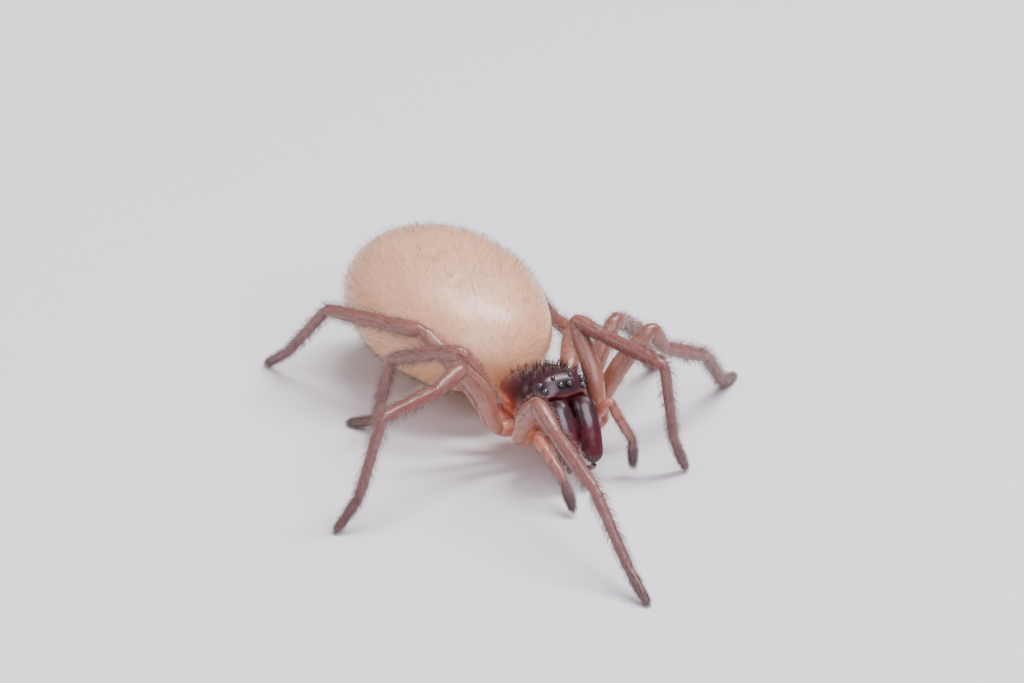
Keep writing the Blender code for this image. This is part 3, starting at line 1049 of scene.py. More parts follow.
class Builder:
    """Takes each finished piece into the model.

    Attributes:
        LENGTHS: Least and greatest length of a coat's hairs, as shares of the length asked for.
        RADII: The same for their radius.
    """

    LENGTHS = (0.65, 1.2)
    RADII = (0.75, 1.25)

    def __init__(self, finishes: Finishes) -> None:
        """Keeps the finishes, and reads how high the solids reach."""
        self.finishes = finishes
        self.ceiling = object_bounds()[1].z / MM - BODY_HEIGHT + HEADROOM

    def add(self, piece: bpy.types.Object, finish: bpy.types.Material, slot: Slot, *nodes: str) -> None:
        """Dresses a piece, makes it ride on the body and hides the solids that it stands for.

        Args:
            piece: The piece.
            finish: Its material.
            slot: The record's slot that it belongs to. Not used.
            *nodes: The names of the solids that it stands for.
        """
        piece.data.materials.clear()
        piece.data.materials.append(finish)
        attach(piece, "root")
        if nodes:
            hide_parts(*nodes)
        log.info("%s: %d faces", piece.name, len(piece.data.polygons))

    def coat(self, name: str, surface: Surface, finish: bpy.types.Material, slot: Slot, *, count: int,
             seed: int, length: Reading, radius: float, lift: tuple[float, float], curl: float = 0.25,
             stray: float = 0.35, weight: Reading | None = None) -> None:
        """Grows hair on a surface.

        Args:
            name: The piece's name.
            surface: What it grows from.
            finish: The hairs' material.
            slot: The record's slot that they belong to.
            count: How many hairs.
            seed: Picks the random draws.
            length: Gives a hair's length from its u, v and root.
            radius: Radius at the root.
            lift: Least and greatest angle from the skin, in radians.
            curl: How far a tip bends along its lie, as a share of the length.
            stray: How far the lie wanders.
            weight: Gives how dense the hairs are from u, v and the point.
        """
        rng = np.random.default_rng(SEED + seed)
        u, v = surface.scatter(count, rng, weight)
        roots, out, way = surface.frame(u, v)
        way = way + rng.normal(scale=stray, size=way.shape)
        way = unit(way - out * (way * out).sum(-1, keepdims=True))
        long = length(u, v, roots) * rng.uniform(*self.LENGTHS, count)
        place = np.stack([u, v], 1) * (1 - 2 * MAP_MARGIN) + MAP_MARGIN
        hairs = Hairs(roots, out, way, long, radius * rng.uniform(*self.RADII, count),
                      rng.uniform(*lift, count), place)
        piece = hair_mesh(name, hairs, hairs.bend(curl), rng.random(count), FLOOR_GAP - BODY_HEIGHT,
                          self.ceiling)
        self.add(piece, finish, slot)


@dataclass
class Abdomen:
    """The egg-shaped abdomen with its coat.

    Attributes:
        centre: Its middle, as (forward, left, up).
        length: Its length.
        width: Its width.
        height: Its height.
        pitch: How far its front end dips, in radians.
        inset: How far its skin lies inside those sizes, to leave room for the relief.
        pits: The pits on its back, as (forward, distance from the middle).
        hairs: How many hairs it has.
    """

    centre: tuple = (-8.55, -0.15, 0.87)
    length: float = 11.3
    width: float = 9.1
    height: float = 6.05
    pitch: float = math.radians(8)
    inset: float = 0.03
    pits: tuple = ((-6.6, 0.8), (-8.6, 1.0))
    hairs: int = 7600

    def shape(self, u: Array, v: Array) -> Array:
        """An egg: girth is the sine of the way along to the power 0.94, a little fuller behind its middle.

        Args:
            u: Share of a turn round the surface.
            v: Share of the way along it.

        Returns:
            The points, in millimetres.
        """
        a, turn = angles(u, v)
        ahead = np.array([math.cos(self.pitch), 0, -math.sin(self.pitch)])
        upward = np.array([math.sin(self.pitch), 0, math.cos(self.pitch)])
        girth = np.maximum(np.sin(a), 0) ** 0.94 * (1 - 0.06 * np.cos(a))
        tall = (self.height / 2 - self.inset) * np.where(np.sin(turn) > 0, 1.0, 0.94)
        return (np.array(self.centre) + ahead * ((self.length / 2 - self.inset) * np.cos(a))[..., None]
                + np.array([0, 1, 0]) * ((self.width / 2 - self.inset) * girth * np.cos(turn))[..., None]
                + upward * (tall * girth * np.sin(turn))[..., None])

    def relief(self, u: Array, v: Array, points: Array) -> Array:
        """Soft swellings, and two pairs of shallow pits on the back.

        Args:
            u: Share of a turn round the surface.
            v: Share of the way along it.
            points: The surface's points there, in millimetres.

        Returns:
            The height above the shape, in millimetres.
        """
        height = 0.022 * ripples(points, 2.6, 3) + 0.006 * ripples(points, 0.7, 4)
        above = points[..., 2] > self.centre[2]
        for forward, left in self.pits:
            for side in Side:
                ahead, aside = points[..., 0] - forward, points[..., 1] - self.centre[1] - side.value * left
                height = height - 0.05 * np.exp(-(ahead ** 2 + aside ** 2) / 0.07) * above
        return height

    def build(self, builder: Builder) -> None:
        """Makes the skin and its hair, which lies backwards and is longest at the front end.

        Args:
            builder: Takes the finished pieces, and holds the finishes.
        """
        surface = Surface(self.shape, self.relief)
        low, span = self.centre[2] - self.height / 2, self.height
        piece = skin("abdomen_skin", surface, 220, rings(170, 0.6),
                     lambda u, v, p: {"height": (p[..., 2] - low) / span})
        builder.add(piece, builder.finishes.abdomen, Slot.ABDOMEN, "abdomen")
        builder.coat("abdomen_coat", surface, builder.finishes.hair_abdomen, Slot.ABDOMEN,
                     count=self.hairs, seed=1,
                     length=lambda u, v, p: 0.36 + 0.10 * np.clip(1 - v * 4, 0, 1),
                     radius=0.0038, lift=(0.80, 1.20), curl=0.18, stray=0.06,
                     weight=lambda u, v, p: 1 + np.clip(1 - v * 5, 0, 1))


@dataclass
class FrontBody:
    """The shell of the front body, the flesh under it, and the plate between the legs.

    Attributes:
        stations: The shell's rings as (forward, half width, top, bottom), from the waist to the face.
        margin: How far up a ring is widest, as a share of its height.
        lip_height: Height of the rim above the jaws at its middle.
        eye_patch: The black patch round the middle eyes, as (height, half width, half height).
        side_patch: The darker patch round the side eyes, as (forward, left, up), and its half sizes.
        waist_ends: The ends of the waist's middle line.
    """

    stations: tuple = (
        (-2.50, 0.00, -0.05, -0.05),
        (-2.42, 0.55, 0.16, -0.22),
        (-2.25, 0.95, 0.48, -0.32),
        (-1.85, 1.38, 0.88, -0.38),
        (-1.25, 1.70, 1.24, -0.40),
        (-0.60, 1.84, 1.50, -0.40),
        (0.05, 1.78, 1.70, -0.38),
        (0.55, 1.65, 1.80, -0.30),
        (0.88, 1.52, 1.82, -0.20),
        (1.12, 1.43, 1.75, -0.05),
        (1.32, 1.34, 1.61, 0.10),
        (1.49, 1.22, 1.42, 0.25),
        (1.62, 1.06, 1.20, 0.42),
        (1.67, 0.00, 0.86, 0.86),
    )
    margin: float = 0.30
    lip_height: float = 1.00
    eye_patch: tuple = (1.47, 0.44, 0.19)
    side_patch: tuple = ((1.24, 1.02, 1.33), (0.36, 0.30, 0.30))
    waist_ends: tuple = ((-1.70, 0.0, -0.80), (-3.90, -0.10, -0.52))

    def shape(self, u: Array, v: Array) -> Array:
        """Rings of a rounded box between the stations, widest at the margin's height.

        Args:
            u: Share of a turn round the surface.
            v: Share of the way along it.

        Returns:
            The points, in millimetres.
        """
        last = len(self.stations) - 1
        rows = [(k, *row) for k, row in enumerate(self.stations)]
        read = smooth(rows, np.clip(v, 0, 1) * last)
        forward, width, top, bottom = np.moveaxis(read, -1, 0)
        across, rise = np.cos(u * TURN), np.sin(u * TURN)
        middle = bottom + (top - bottom) * self.margin
        tall = np.where(rise > 0, top - middle, middle - bottom)
        return np.stack([forward, width * np.sign(across) * np.abs(across) ** 0.86,
                         middle + tall * np.sign(rise) * np.abs(rise) ** 0.92], -1)

    def relief(self, u: Array, v: Array, points: Array) -> Array:
        """A groove behind the head on each side, a short pit, faint rays, and a bead along the edge.

        Args:
            u: Share of a turn round the surface.
            v: Share of the way along it.
            points: The surface's points there, in millimetres.

        Returns:
            The height above the shape, in millimetres.
        """
        forward, left, rise = points[..., 0], np.abs(points[..., 1]), np.sin(u * TURN)
        on_top = np.clip(rise * 3, 0, 1)
        groove = np.exp(-((forward + 0.75 - left * 0.95) / 0.16) ** 2) * np.clip(left / 0.5, 0, 1)
        pit = np.exp(-(left / 0.07) ** 2 - ((forward + 1.15) / 0.28) ** 2)
        angle = np.arctan2(left, -(forward + 1.0))
        rays = (0.5 + 0.5 * np.cos(angle * 9)) * np.exp(-((forward + 1.0) ** 2 + left ** 2 - 0.9) ** 2)
        bead = np.exp(-((rise + 0.05) / 0.10) ** 2)
        behind = np.clip((1.15 - forward) / 0.5, 0, 1)
        return ((-0.055 * groove - 0.08 * pit - 0.012 * rays) * on_top + 0.03 * bead * behind
                + 0.045 * self.lip(points) + 0.008 * ripples(points, 0.8, 9))

    def lip(self, points: Array) -> Array:
        """The rounded rim above the jaws, as 1 on its crest: a bell curve across the face's lower edge.

        Args:
            points: The surface's points there, in millimetres.

        Returns:
            A number from 0 to 1 a point.
        """
        crest = self.lip_height + 0.07 * np.clip(np.abs(points[..., 1]) / 0.6, 0, 1) ** 2
        on_face = np.clip((points[..., 0] - 1.30) / 0.2, 0, 1)
        return np.exp(-((points[..., 2] - crest) / 0.09) ** 2) * on_face

    def flesh_shape(self, u: Array, v: Array) -> Array:
        """A long egg that fills the space between the shell's edge and the plate underneath.

        Args:
            u: Share of a turn round the surface.
            v: Share of the way along it.

        Returns:
            The points, in millimetres.
        """
        a, turn = angles(u, v)
        girth = np.maximum(np.sin(a), 0) ** 0.6
        return np.stack([-0.38 - 1.90 * np.cos(a), 1.60 * girth * np.cos(turn),
                         -0.42 + np.where(np.sin(turn) > 0, 0.5, 0.78) * girth * np.sin(turn)], -1)

    def flesh_relief(self, u: Array, v: Array, points: Array) -> Array:
        """Soft folds between the legs."""
        folds = np.cos(points[..., 0] * 7.2) * np.clip(-np.sin(u * TURN) + 0.4, 0, 1)
        return 0.03 * folds + 0.02 * ripples(points, 0.5, 12)

    def plate_shape(self, u: Array, v: Array) -> Array:
        """The shield between the legs: an egg, wider below.

        Args:
            u: Share of a turn round the surface.
            v: Share of the way along it.

        Returns:
            The points, in millimetres.
        """
        a, turn = angles(u, v)
        girth = np.maximum(np.sin(a), 0) ** 0.7
        wide = 0.62 + 0.26 * np.maximum(0, -np.cos(a)) ** 0.5
        left = wide * girth * np.sin(turn) * (1 + 0.10 * np.cos(turn))
        return np.stack([-0.32 + 1.30 * girth * np.cos(turn), left, -1.12 + 0.53 * np.cos(a)], -1)

    def marks(self, u: Array, v: Array, points: Array) -> dict[str, Array]:
        """How far down the side and towards the face a point is, the red lip and the black eye patches.

        Args:
            u: Share of a turn round the surface.
            v: Share of the way along it.
            points: The surface's points there, in millimetres.

        Returns:
            The numbers that the material reads, by name.
        """
        folded = np.stack([points[..., 0], np.abs(points[..., 1]), points[..., 2]], -1)
        up, half_width, half_height = self.eye_patch
        patch = np.exp(-(folded[..., 1] / half_width) ** 4 - ((folded[..., 2] - up) / half_height) ** 4)
        middle, sizes = np.array(self.side_patch)
        aside = np.exp(-(((folded - middle) / sizes) ** 2).sum(-1) ** 2)
        back, front = self.stations[0][0], self.stations[-1][0]
        return {"rim": np.clip(1 - np.sin(u * TURN), 0, 1) ** 1.4,
                "ahead": (points[..., 0] - back) / (front - back),
                "lip": self.lip(points), "mask": np.maximum(patch, 0.6 * aside) * (points[..., 0] > 0.9)}

    def build(self, builder: Builder) -> None:
        """Makes the shell, flesh, plate and waist, with short hair on the shell.

        Args:
            builder: Takes the finished pieces, and holds the finishes.
        """
        shell = Surface(self.shape, self.relief)
        piece = skin("carapace_shell", shell, 160, rings(150, 0.35), self.marks)
        builder.add(piece, builder.finishes.shell, Slot.CARAPACE, "carapace")
        flesh = skin("flesh_under_shell", Surface(self.flesh_shape, self.flesh_relief), 96, rings(80))
        builder.add(flesh, builder.finishes.flesh, Slot.COXA)
        plate = skin("sternum_plate", Surface(self.plate_shape), 72, rings(48))
        builder.add(plate, builder.finishes.flesh, Slot.COXA, "sternum")
        waist = Sweep(np.linspace(*self.waist_ends, 40), np.linspace(0, 1, 40),
                      lambda place, turn: 0.28 + 0.10 * place + 0.02 * np.cos(place * 30))
        piece = skin("waist", Surface(waist.shape), 32, rings(36))
        builder.add(piece, builder.finishes.flesh, Slot.COXA, "pedicel")
        builder.coat("carapace_down", shell, builder.finishes.hair_black, Slot.CARAPACE,
                     count=380, seed=2, length=lambda u, v, p: 0.36 + 0.12 * np.clip(p[..., 0] + 1, 0, 1),
                     radius=0.0084, lift=(0.95, 1.45), curl=0.12,
                     weight=lambda u, v, p: np.clip(p[..., 2] - 0.75, 0, 0.6) * (p[..., 0] < 0.98))
        builder.coat("carapace_glints", shell, builder.finishes.hair_gold, Slot.CARAPACE,
                     count=130, seed=3, length=lambda u, v, p: np.full(u.shape, 0.06), radius=0.0120,
                     lift=(0.5, 1.2), curl=0.1,
                     weight=lambda u, v, p: np.clip(p[..., 2] - 0.9, 0, 0.6) * (p[..., 0] < 1.15))


@dataclass
class Eyes:
    """Eight lenses.

    Attributes:
        table: Each pair's name, its left eye's middle as (forward, left, up), and its radius.
        head_middle: The point that every lens looks away from.
    """

    table: tuple = (
        ("front_middle", 1.45, 0.22, 1.48, 0.150),
        ("back_middle", 1.12, 0.44, 1.73, 0.110),
        ("front_side", 1.38, 0.96, 1.24, 0.165),
        ("back_side", 1.09, 1.07, 1.42, 0.165),
    )
    head_middle: tuple = (0.6, 0.0, 0.5)

    @staticmethod
    def ball(centre: Array, way: Array, radius: float) -> Shape:
        """A ball's shape: its axis times the cosine, plus its ring directions times the sine.

        Args:
            centre: The middle of the ball.
            way: Its axis, which its first pole lies on.
            radius: Its radius.

        Returns:
            A function that gives the points of arrays u and v.
        """
        across = unit(np.cross(way, (0, 0, 1)))
        over = np.cross(across, way)

        def shape(u: Array, v: Array) -> Array:
            """The points of arrays u and v.

            Args:
                u: Share of a turn round the surface.
                v: Share of the way along it.

            Returns:
                The points, in millimetres.
            """
            a, turn = angles(u, v)
            ring = across * np.cos(turn)[..., None] + over * np.sin(turn)[..., None]
            return centre + radius * (way * np.cos(a)[..., None] + ring * np.sin(a)[..., None])

        return shape

    def build(self, builder: Builder) -> None:
        """Makes each lens as a ball whose pole looks straight out of the head.

        Args:
            builder: Takes the finished pieces, and holds the finishes.
        """
        finishes = builder.finishes
        for which, *place, radius in self.table:
            dark = which == "front_middle"
            finish, slot = ((finishes.lens_dark, Slot.EYE_DARK) if dark
                            else (finishes.lens_pearl, Slot.EYE_PEARL))
            for side in Side:
                centre = side.place(place)
                lens = Surface(self.ball(centre, unit(centre - np.array(self.head_middle)), radius))
                piece = skin(f"lens_{which}_{side.word}", lens, 40, rings(28),
                             lambda u, v, p: {"edge": np.clip(v * 2, 0, 1)})
                builder.add(piece, finish, slot, f"eye_{which}_{side.word}")


@dataclass
class Jaws:
    """The two stout jaws with their fangs and bristles.

    Attributes:
        base: The upper end of the left jaw's middle line.
        tip: Its lower end.
        thickness: Greatest thickness of a jaw.
        profile: Rows of share of the length gone, share of the thickness, and bulge to the front.
        fang: Points along the left fang.
        fang_radii: Rows of share of the fang's length gone and radius.
    """

    base: tuple = (1.68, 0.67, 0.90)
    tip: tuple = (3.50, 0.61, -1.60)
    thickness: float = 1.22
    profile: tuple = (
        (0.0, 0.50, 0.00), (0.03, 0.74, 0.00), (0.10, 0.92, 0.03), (0.22, 1.0, 0.07), (0.40, 1.0, 0.08),
        (0.58, 0.96, 0.05), (0.74, 0.88, 0.02), (0.88, 0.76, 0.00), (0.96, 0.62, 0.00), (1.0, 0.50, 0.00))
    fang: tuple = ((3.36, 0.66, -1.70), (3.32, 0.60, -1.88), (3.20, 0.48, -1.97), (3.00, 0.36, -2.02),
                   (2.80, 0.26, -2.02), (2.62, 0.19, -1.98))
    fang_radii: tuple = ((0.0, 0.13), (0.25, 0.13), (0.6, 0.085), (1.0, 0.015))

    def jaw_sweep(self, side: Side) -> Sweep:
        """The jaw's middle line bulges forward near the base, and its radius follows the profile.

        Args:
            side: The side of the animal.

        Returns:
            The jaw, as a sweep.
        """
        part = np.linspace(0, 1, 160)
        read = smooth(self.profile, part)
        base, tip = side.place((self.base, self.tip))
        way = unit(tip - base)
        front = np.array([-way[2], 0, way[0]])
        line = base + (tip - base) * part[:, None] + front * read[:, 1:2]

        def girth(place: Array, turn: Array) -> Array:
            """Half the thickness times the profile, a little less on one side."""
            inner = np.clip(np.cos(turn) * side.value, 0, 1)
            return self.thickness / 2 * smooth(self.profile, place)[..., 0] * (1 - 0.05 * inner ** 2)

        return Sweep(line, part, girth, upward=tuple(front), root=0.12, tip=0.34)

    def fang_sweep(self, side: Side) -> Sweep:
        """A curved fang that tapers to a point.

        Args:
            side: The side of the animal.

        Returns:
            The fang, as a sweep.
        """
        part = np.linspace(0, 1, 90)
        line = through(side.place(self.fang), part)
        return Sweep(line, part, tapered(self.fang_radii), root=0.05, tip=0.03)

    def build(self, builder: Builder) -> None:
        """Makes both jaws, their fangs, and bristles along the inner face and the front.

        Args:
            builder: Takes the finished pieces, and holds the finishes.
        """
        for side in Side:
            sweep = self.jaw_sweep(side)
            surface = Surface(sweep.shape, lambda u, v, p: 0.006 * ripples(p, 0.45, 21))
            piece = skin(f"jaw_{side.word}", surface, 96, rings(110, 0.45), along_mark)
            builder.add(piece, builder.finishes.jaw, Slot.JAW, f"chelicera_{side.word}")
            fang = skin(f"fang_{side.word}_fine", Surface(self.fang_sweep(side).shape), 28, rings(60),
                        along_mark)
            builder.add(fang, builder.finishes.fang, Slot.FANG, f"fang_{side.word}")

            def inner(u: Array, v: Array, points: Array, sign: int = side.value) -> Array:
                """More bristles towards the gap between the jaws and down the front."""
                near = np.exp(-((points[..., 1] * sign - 0.12) / 0.22) ** 2)
                return near * np.clip(v * 3 - 0.4, 0, 1) + 0.22 * np.clip(v * 2 - 0.5, 0, 1)

            builder.coat(f"jaw_bristles_{side.word}", surface, builder.finishes.hair_jaw, Slot.JAW,
                         count=150, seed=30 + side.value, length=lambda u, v, p: 0.18 + 0.14 * v,
                         radius=0.0050, lift=(0.5, 1.1), curl=0.3, stray=0.3, weight=inner)


@dataclass
class Legs:
    """The eight legs, each one skin from the body to its claws.

    Attributes:
        hips: Where each pair's left leg base ends, from the first pair to the fourth.
        lengths: Lengths of each pair's five outer bones.
        poses: Each leg's side and pair, and its angles in degrees: the headings of the femur, of the next
            two bones and of the foot, then the slopes of the first four bones.
        radii: Rows of bones passed and radius. The leg base runs from -1 to 0.
        bow: How far the femur bows upwards.
        rounding: Width of the bell curve that softens the joints.
        axis_height: Height of the leg's end over the floor.
        around: Points in a ring of the skin.
        along: Rings of the skin.
        hair_length: Rows of bones passed and length of the coat's hairs.
        density: Rows of bones passed and how dense the coat is.
        claw_radii: Rows of share of a claw's length gone and radius.
    """

    hips: tuple = ((1.42, 2.22, -0.80), (0.20, 2.60, -0.82), (-0.78, 2.52, -0.80), (-1.62, 2.15, -0.80))
    lengths: tuple = (
        (4.8, 1.7, 3.7, 3.9, 1.8),
        (4.5, 1.7, 3.7, 3.8, 1.75),
        (4.0, 1.6, 3.0, 3.3, 1.6),
        (4.6, 1.9, 3.7, 3.9, 1.75),
    )
    poses: tuple = (
        (Side.RIGHT, 0, (20, 0, -4, 45, -24, -18, -41)),
        (Side.RIGHT, 1, (76, 70, 85, 56, -19, -2, -75)),
        (Side.RIGHT, 2, (85, 162, 150, 66, -18, -26, -80)),
        (Side.RIGHT, 3, (150, 158, 165, 40, -8, -8, -52)),
        (Side.LEFT, 0, (182, 18, 88, 53, -6, -3, -78)),
        (Side.LEFT, 1, (83, 110, 128, 57, -52, -24, -42)),
        (Side.LEFT, 2, (118, 128, 130, 54, -27, -34, -48)),
        (Side.LEFT, 3, (148, 171, 170, 14, -8, -2, -38)),
    )
    radii: tuple = (
        (-1.0, 0.24), (-0.85, 0.34), (-0.45, 0.40), (-0.15, 0.36), (-0.02, 0.30), (0.05, 0.33), (0.12, 0.35),
        (0.17, 0.34), (0.40, 0.45), (0.75, 0.42), (0.93, 0.36), (1.00, 0.31), (1.12, 0.35), (1.40, 0.37),
        (1.85, 0.34), (1.97, 0.30), (2.03, 0.29), (2.15, 0.32), (2.40, 0.33), (2.85, 0.30), (2.97, 0.255),
        (3.02, 0.235), (3.10, 0.25), (3.50, 0.24), (3.93, 0.22), (4.00, 0.19), (4.08, 0.205), (4.50, 0.20),
        (4.90, 0.165), (5.00, 0.15),
    )
    bow: float = 0.28
    rounding: float = 0.20
    axis_height: float = 0.13
    around: int = 32
    along: int = 360
    hair_length: tuple = ((-1.0, 0.10), (0.0, 0.16), (0.5, 0.28), (1.5, 0.34), (2.5, 0.46), (3.3, 0.42),
                          (4.3, 0.26), (5.0, 0.14))
    density: tuple = ((-1.0, 0.1), (0.0, 0.5), (0.5, 0.8), (2.0, 1.4), (3.0, 2.2), (4.0, 3.0), (5.0, 4.5))
    claw_radii: tuple = ((0.0, 0.030), (0.5, 0.022), (1.0, 0.004))

    @staticmethod
    def heading(side: Side, degrees: float, slope: float) -> Array:
        """A unit direction from its heading and slope. Heading 0 is forward and 90 straight out.

        Args:
            side: The side of the animal.
            degrees: The heading.
            slope: The slope, upwards.

        Returns:
            The direction, as a unit vector.
        """
        yaw, lift = math.radians(degrees), math.radians(slope)
        return np.array([math.cos(yaw) * math.cos(lift), side.value * math.sin(yaw) * math.cos(lift),
                         math.sin(lift)])

    def corners(self, side: Side, pair: int, pose: tuple) -> Array:
        """The body end of the coxa, the hip and the later joints, in millimetres.

        Args:
            side: The side of the animal.
            pair: The pair's number, from 0 at the front.
            pose: The leg's angles, as in poses.

        Returns:
            The points, one a row.
        """
        femur_yaw, tibia_yaw, foot_yaw, *slopes = pose
        hip, lengths = self.hips[pair], self.lengths[pair]
        # The leg base starts under the shell, closer to the body's middle than its hip is.
        points = list(side.place(((hip[0] * 0.72 - 0.02, 0.90, -1.0), hip)))
        for length, yaw, slope in zip(lengths, (femur_yaw, tibia_yaw, tibia_yaw, foot_yaw), slopes):
            points.append(points[-1] + self.heading(side, yaw, slope) * length)
        # The last bone slopes down until its end is at the floor, by 76 degrees at most.
        drop = points[-1][2] + BODY_HEIGHT - self.axis_height
        last = -math.degrees(math.asin(max(0.0, min(0.97, drop / lengths[4]))))
        points.append(points[-1] + self.heading(side, foot_yaw, last) * lengths[4])
        return np.array(points)

    def sweep(self, side: Side, pair: int, pose: tuple) -> Sweep:
        """The line of straight bones, softened at the joints by a moving bell curve, with a bowed femur.

        Args:
            side: The side of the animal.
            pair: The pair's number, from 0 at the front.
            pose: The leg's angles, as in poses.

        Returns:
            The leg, as a sweep.
        """
        corners = self.corners(side, pair, pose)
        line, gone, travel = soften(corners, 0.02, 40, self.rounding)
        place = np.interp(gone, travel, np.arange(len(corners)) - 1.0)
        thigh = unit(corners[2] - corners[1])
        upward = unit(np.array([0, 0, 1]) - thigh * thigh[2])
        line = line + (np.sin(np.clip(place, 0, 1) * np.pi) ** 2 * self.bow)[:, None] * upward

        def girth(where: Array, turn: Array) -> Array:
            """The table's radius, with a flange over the top of each joint.

            Args:
                where: Bones passed.
                turn: Turn round the line, in radians.

            Returns:
                The radius, in millimetres.
            """
            over = np.clip(np.sin(turn), 0, 1)
            near = np.exp(-((where - np.round(where) + 0.05) / 0.05) ** 2) * (where > 0.5)
            return smooth(self.radii, where) * (1 + 0.07 * near * over)

        return Sweep(line, place, girth, root=0.15, tip=0.15)

    @staticmethod
    def skin_marks(sweep: Sweep) -> Marks:
        """Gives the place along the leg, the closeness of a joint and how high on its ring a point is.

        Args:
            sweep: The leg's sweep.

        Returns:
            A function that gives them for a skin.
        """
        def marks(u: Array, v: Array, points: Array) -> dict[str, Array]:
            """Reads them for arrays of u and v.

            Args:
                u: Share of a turn round the surface.
                v: Share of the way along it.
                points: The surface's points there, in millimetres.

            Returns:
                The numbers that the material reads, by name.
            """
            place = sweep.place_at(v)
            joint = np.exp(-((place - np.round(place)) / 0.035) ** 2) * (place > -0.5) * (place < 4.5)
            return {"along": place, "joint": joint, "over": np.sin(u * TURN)}

        return marks

    def build(self, builder: Builder) -> None:
        """Makes each leg's skin, coats and claws.

        Args:
            builder: Takes the finished pieces, and holds the finishes.
        """
        finishes = builder.finishes
        for number, (side, pair, pose) in enumerate(self.poses):
            sweep = self.sweep(side, pair, pose)
            surface = Surface(sweep.shape, lambda u, v, p: 0.004 * ripples(p, 0.55, 40))
            name = f"leg_{side.word}_{pair + 1}"
            # The rings lie closer together at both ends, where the skin rounds off.
            stops = np.linspace(0, 1, self.along + 2)[1:-1]
            stops = np.concatenate([stops[:1] * 0.4, stops, 1 - np.array([1.6, 0.8, 0.3, 0.08]) * 0.001])
            piece = skin(name + "_skin", surface, self.around, np.unique(stops), self.skin_marks(sweep))
            self.flatten(piece)
            builder.add(piece, finishes.leg, Slot.LEG, f"coxa_{side.word}_{pair + 1}",
                        *(f"{name}_{bone}" for bone in ("femur", "tibia", "foot")))

            def long(u: Array, v: Array, p: Array, s: Sweep = sweep) -> Array:
                """Longer on the outer bones."""
                return smooth(self.hair_length, s.place_at(v))

            def dense(u: Array, v: Array, p: Array, s: Sweep = sweep) -> Array:
                """Denser towards the foot, and none inside the body."""
                return smooth(self.density, s.place_at(v)) * (s.place_at(v) > -0.6)

            def toe(u: Array, v: Array, p: Array, s: Sweep = sweep) -> Array:
                """Denser towards the foot's end, and none before the middle of the bone above it."""
                return np.clip(s.place_at(v) - 3.5, 0, 1) ** 1.5

            builder.coat(name + "_coat", surface, finishes.hair_leg, Slot.LEG,
                         count=2800, seed=100 + number, length=long, radius=0.0060,
                         lift=(0.60, 1.15), curl=0.26, stray=0.20, weight=dense)
            builder.coat(name + "_foot_coat", surface, finishes.hair_dark, Slot.LEG,
                         count=420, seed=200 + number, length=long, radius=0.0052,
                         lift=(0.30, 0.80), stray=0.20, weight=toe)
            for word, turn in (("inner", -1), ("outer", 1)):
                claw = skin(f"{name}_claw_{word}", Surface(self.claw_sweep(sweep, turn).shape), 10,
                            rings(16), along_mark)
                self.flatten(claw)
                builder.add(claw, finishes.fang, Slot.LEG)

    def claw_sweep(self, sweep: Sweep, turn: int) -> Sweep:
        """One of a foot's two claws: from the tip it spreads aside and hooks down like a parabola.

        Args:
            sweep: The leg's sweep.
            turn: -1 for the inner claw and 1 for the outer one.

        Returns:
            The claw, as a sweep.
        """
        part = np.linspace(0, 1, 30)[:, None]
        way, over = sweep.way[-1], sweep.over[-1]
        across = np.cross(over, way) * turn
        line = (sweep.line[-1] + across * 0.05 + over * 0.06 - way * 0.08
                + way * part * 0.30 + across * part * 0.05 + over * (0.07 * part - 0.19 * part ** 2))
        line[:, 2] = np.maximum(line[:, 2], 0.012 - BODY_HEIGHT)
        return Sweep(line, part[:, 0], tapered(self.claw_radii), root=0.02, tip=0.01)

    @staticmethod
    def flatten(piece: bpy.types.Object) -> None:
        """Presses a foot's lowest points onto the floor.

        Args:
            piece: The piece.
        """
        mesh = piece.data
        points = np.empty(len(mesh.vertices) * 3, np.float32)
        mesh.vertices.foreach_get("co", points)
        points = points.reshape(-1, 3)
        points[:, 2] = np.maximum(points[:, 2], 0)
        mesh.vertices.foreach_set("co", points.ravel())
        mesh.update()


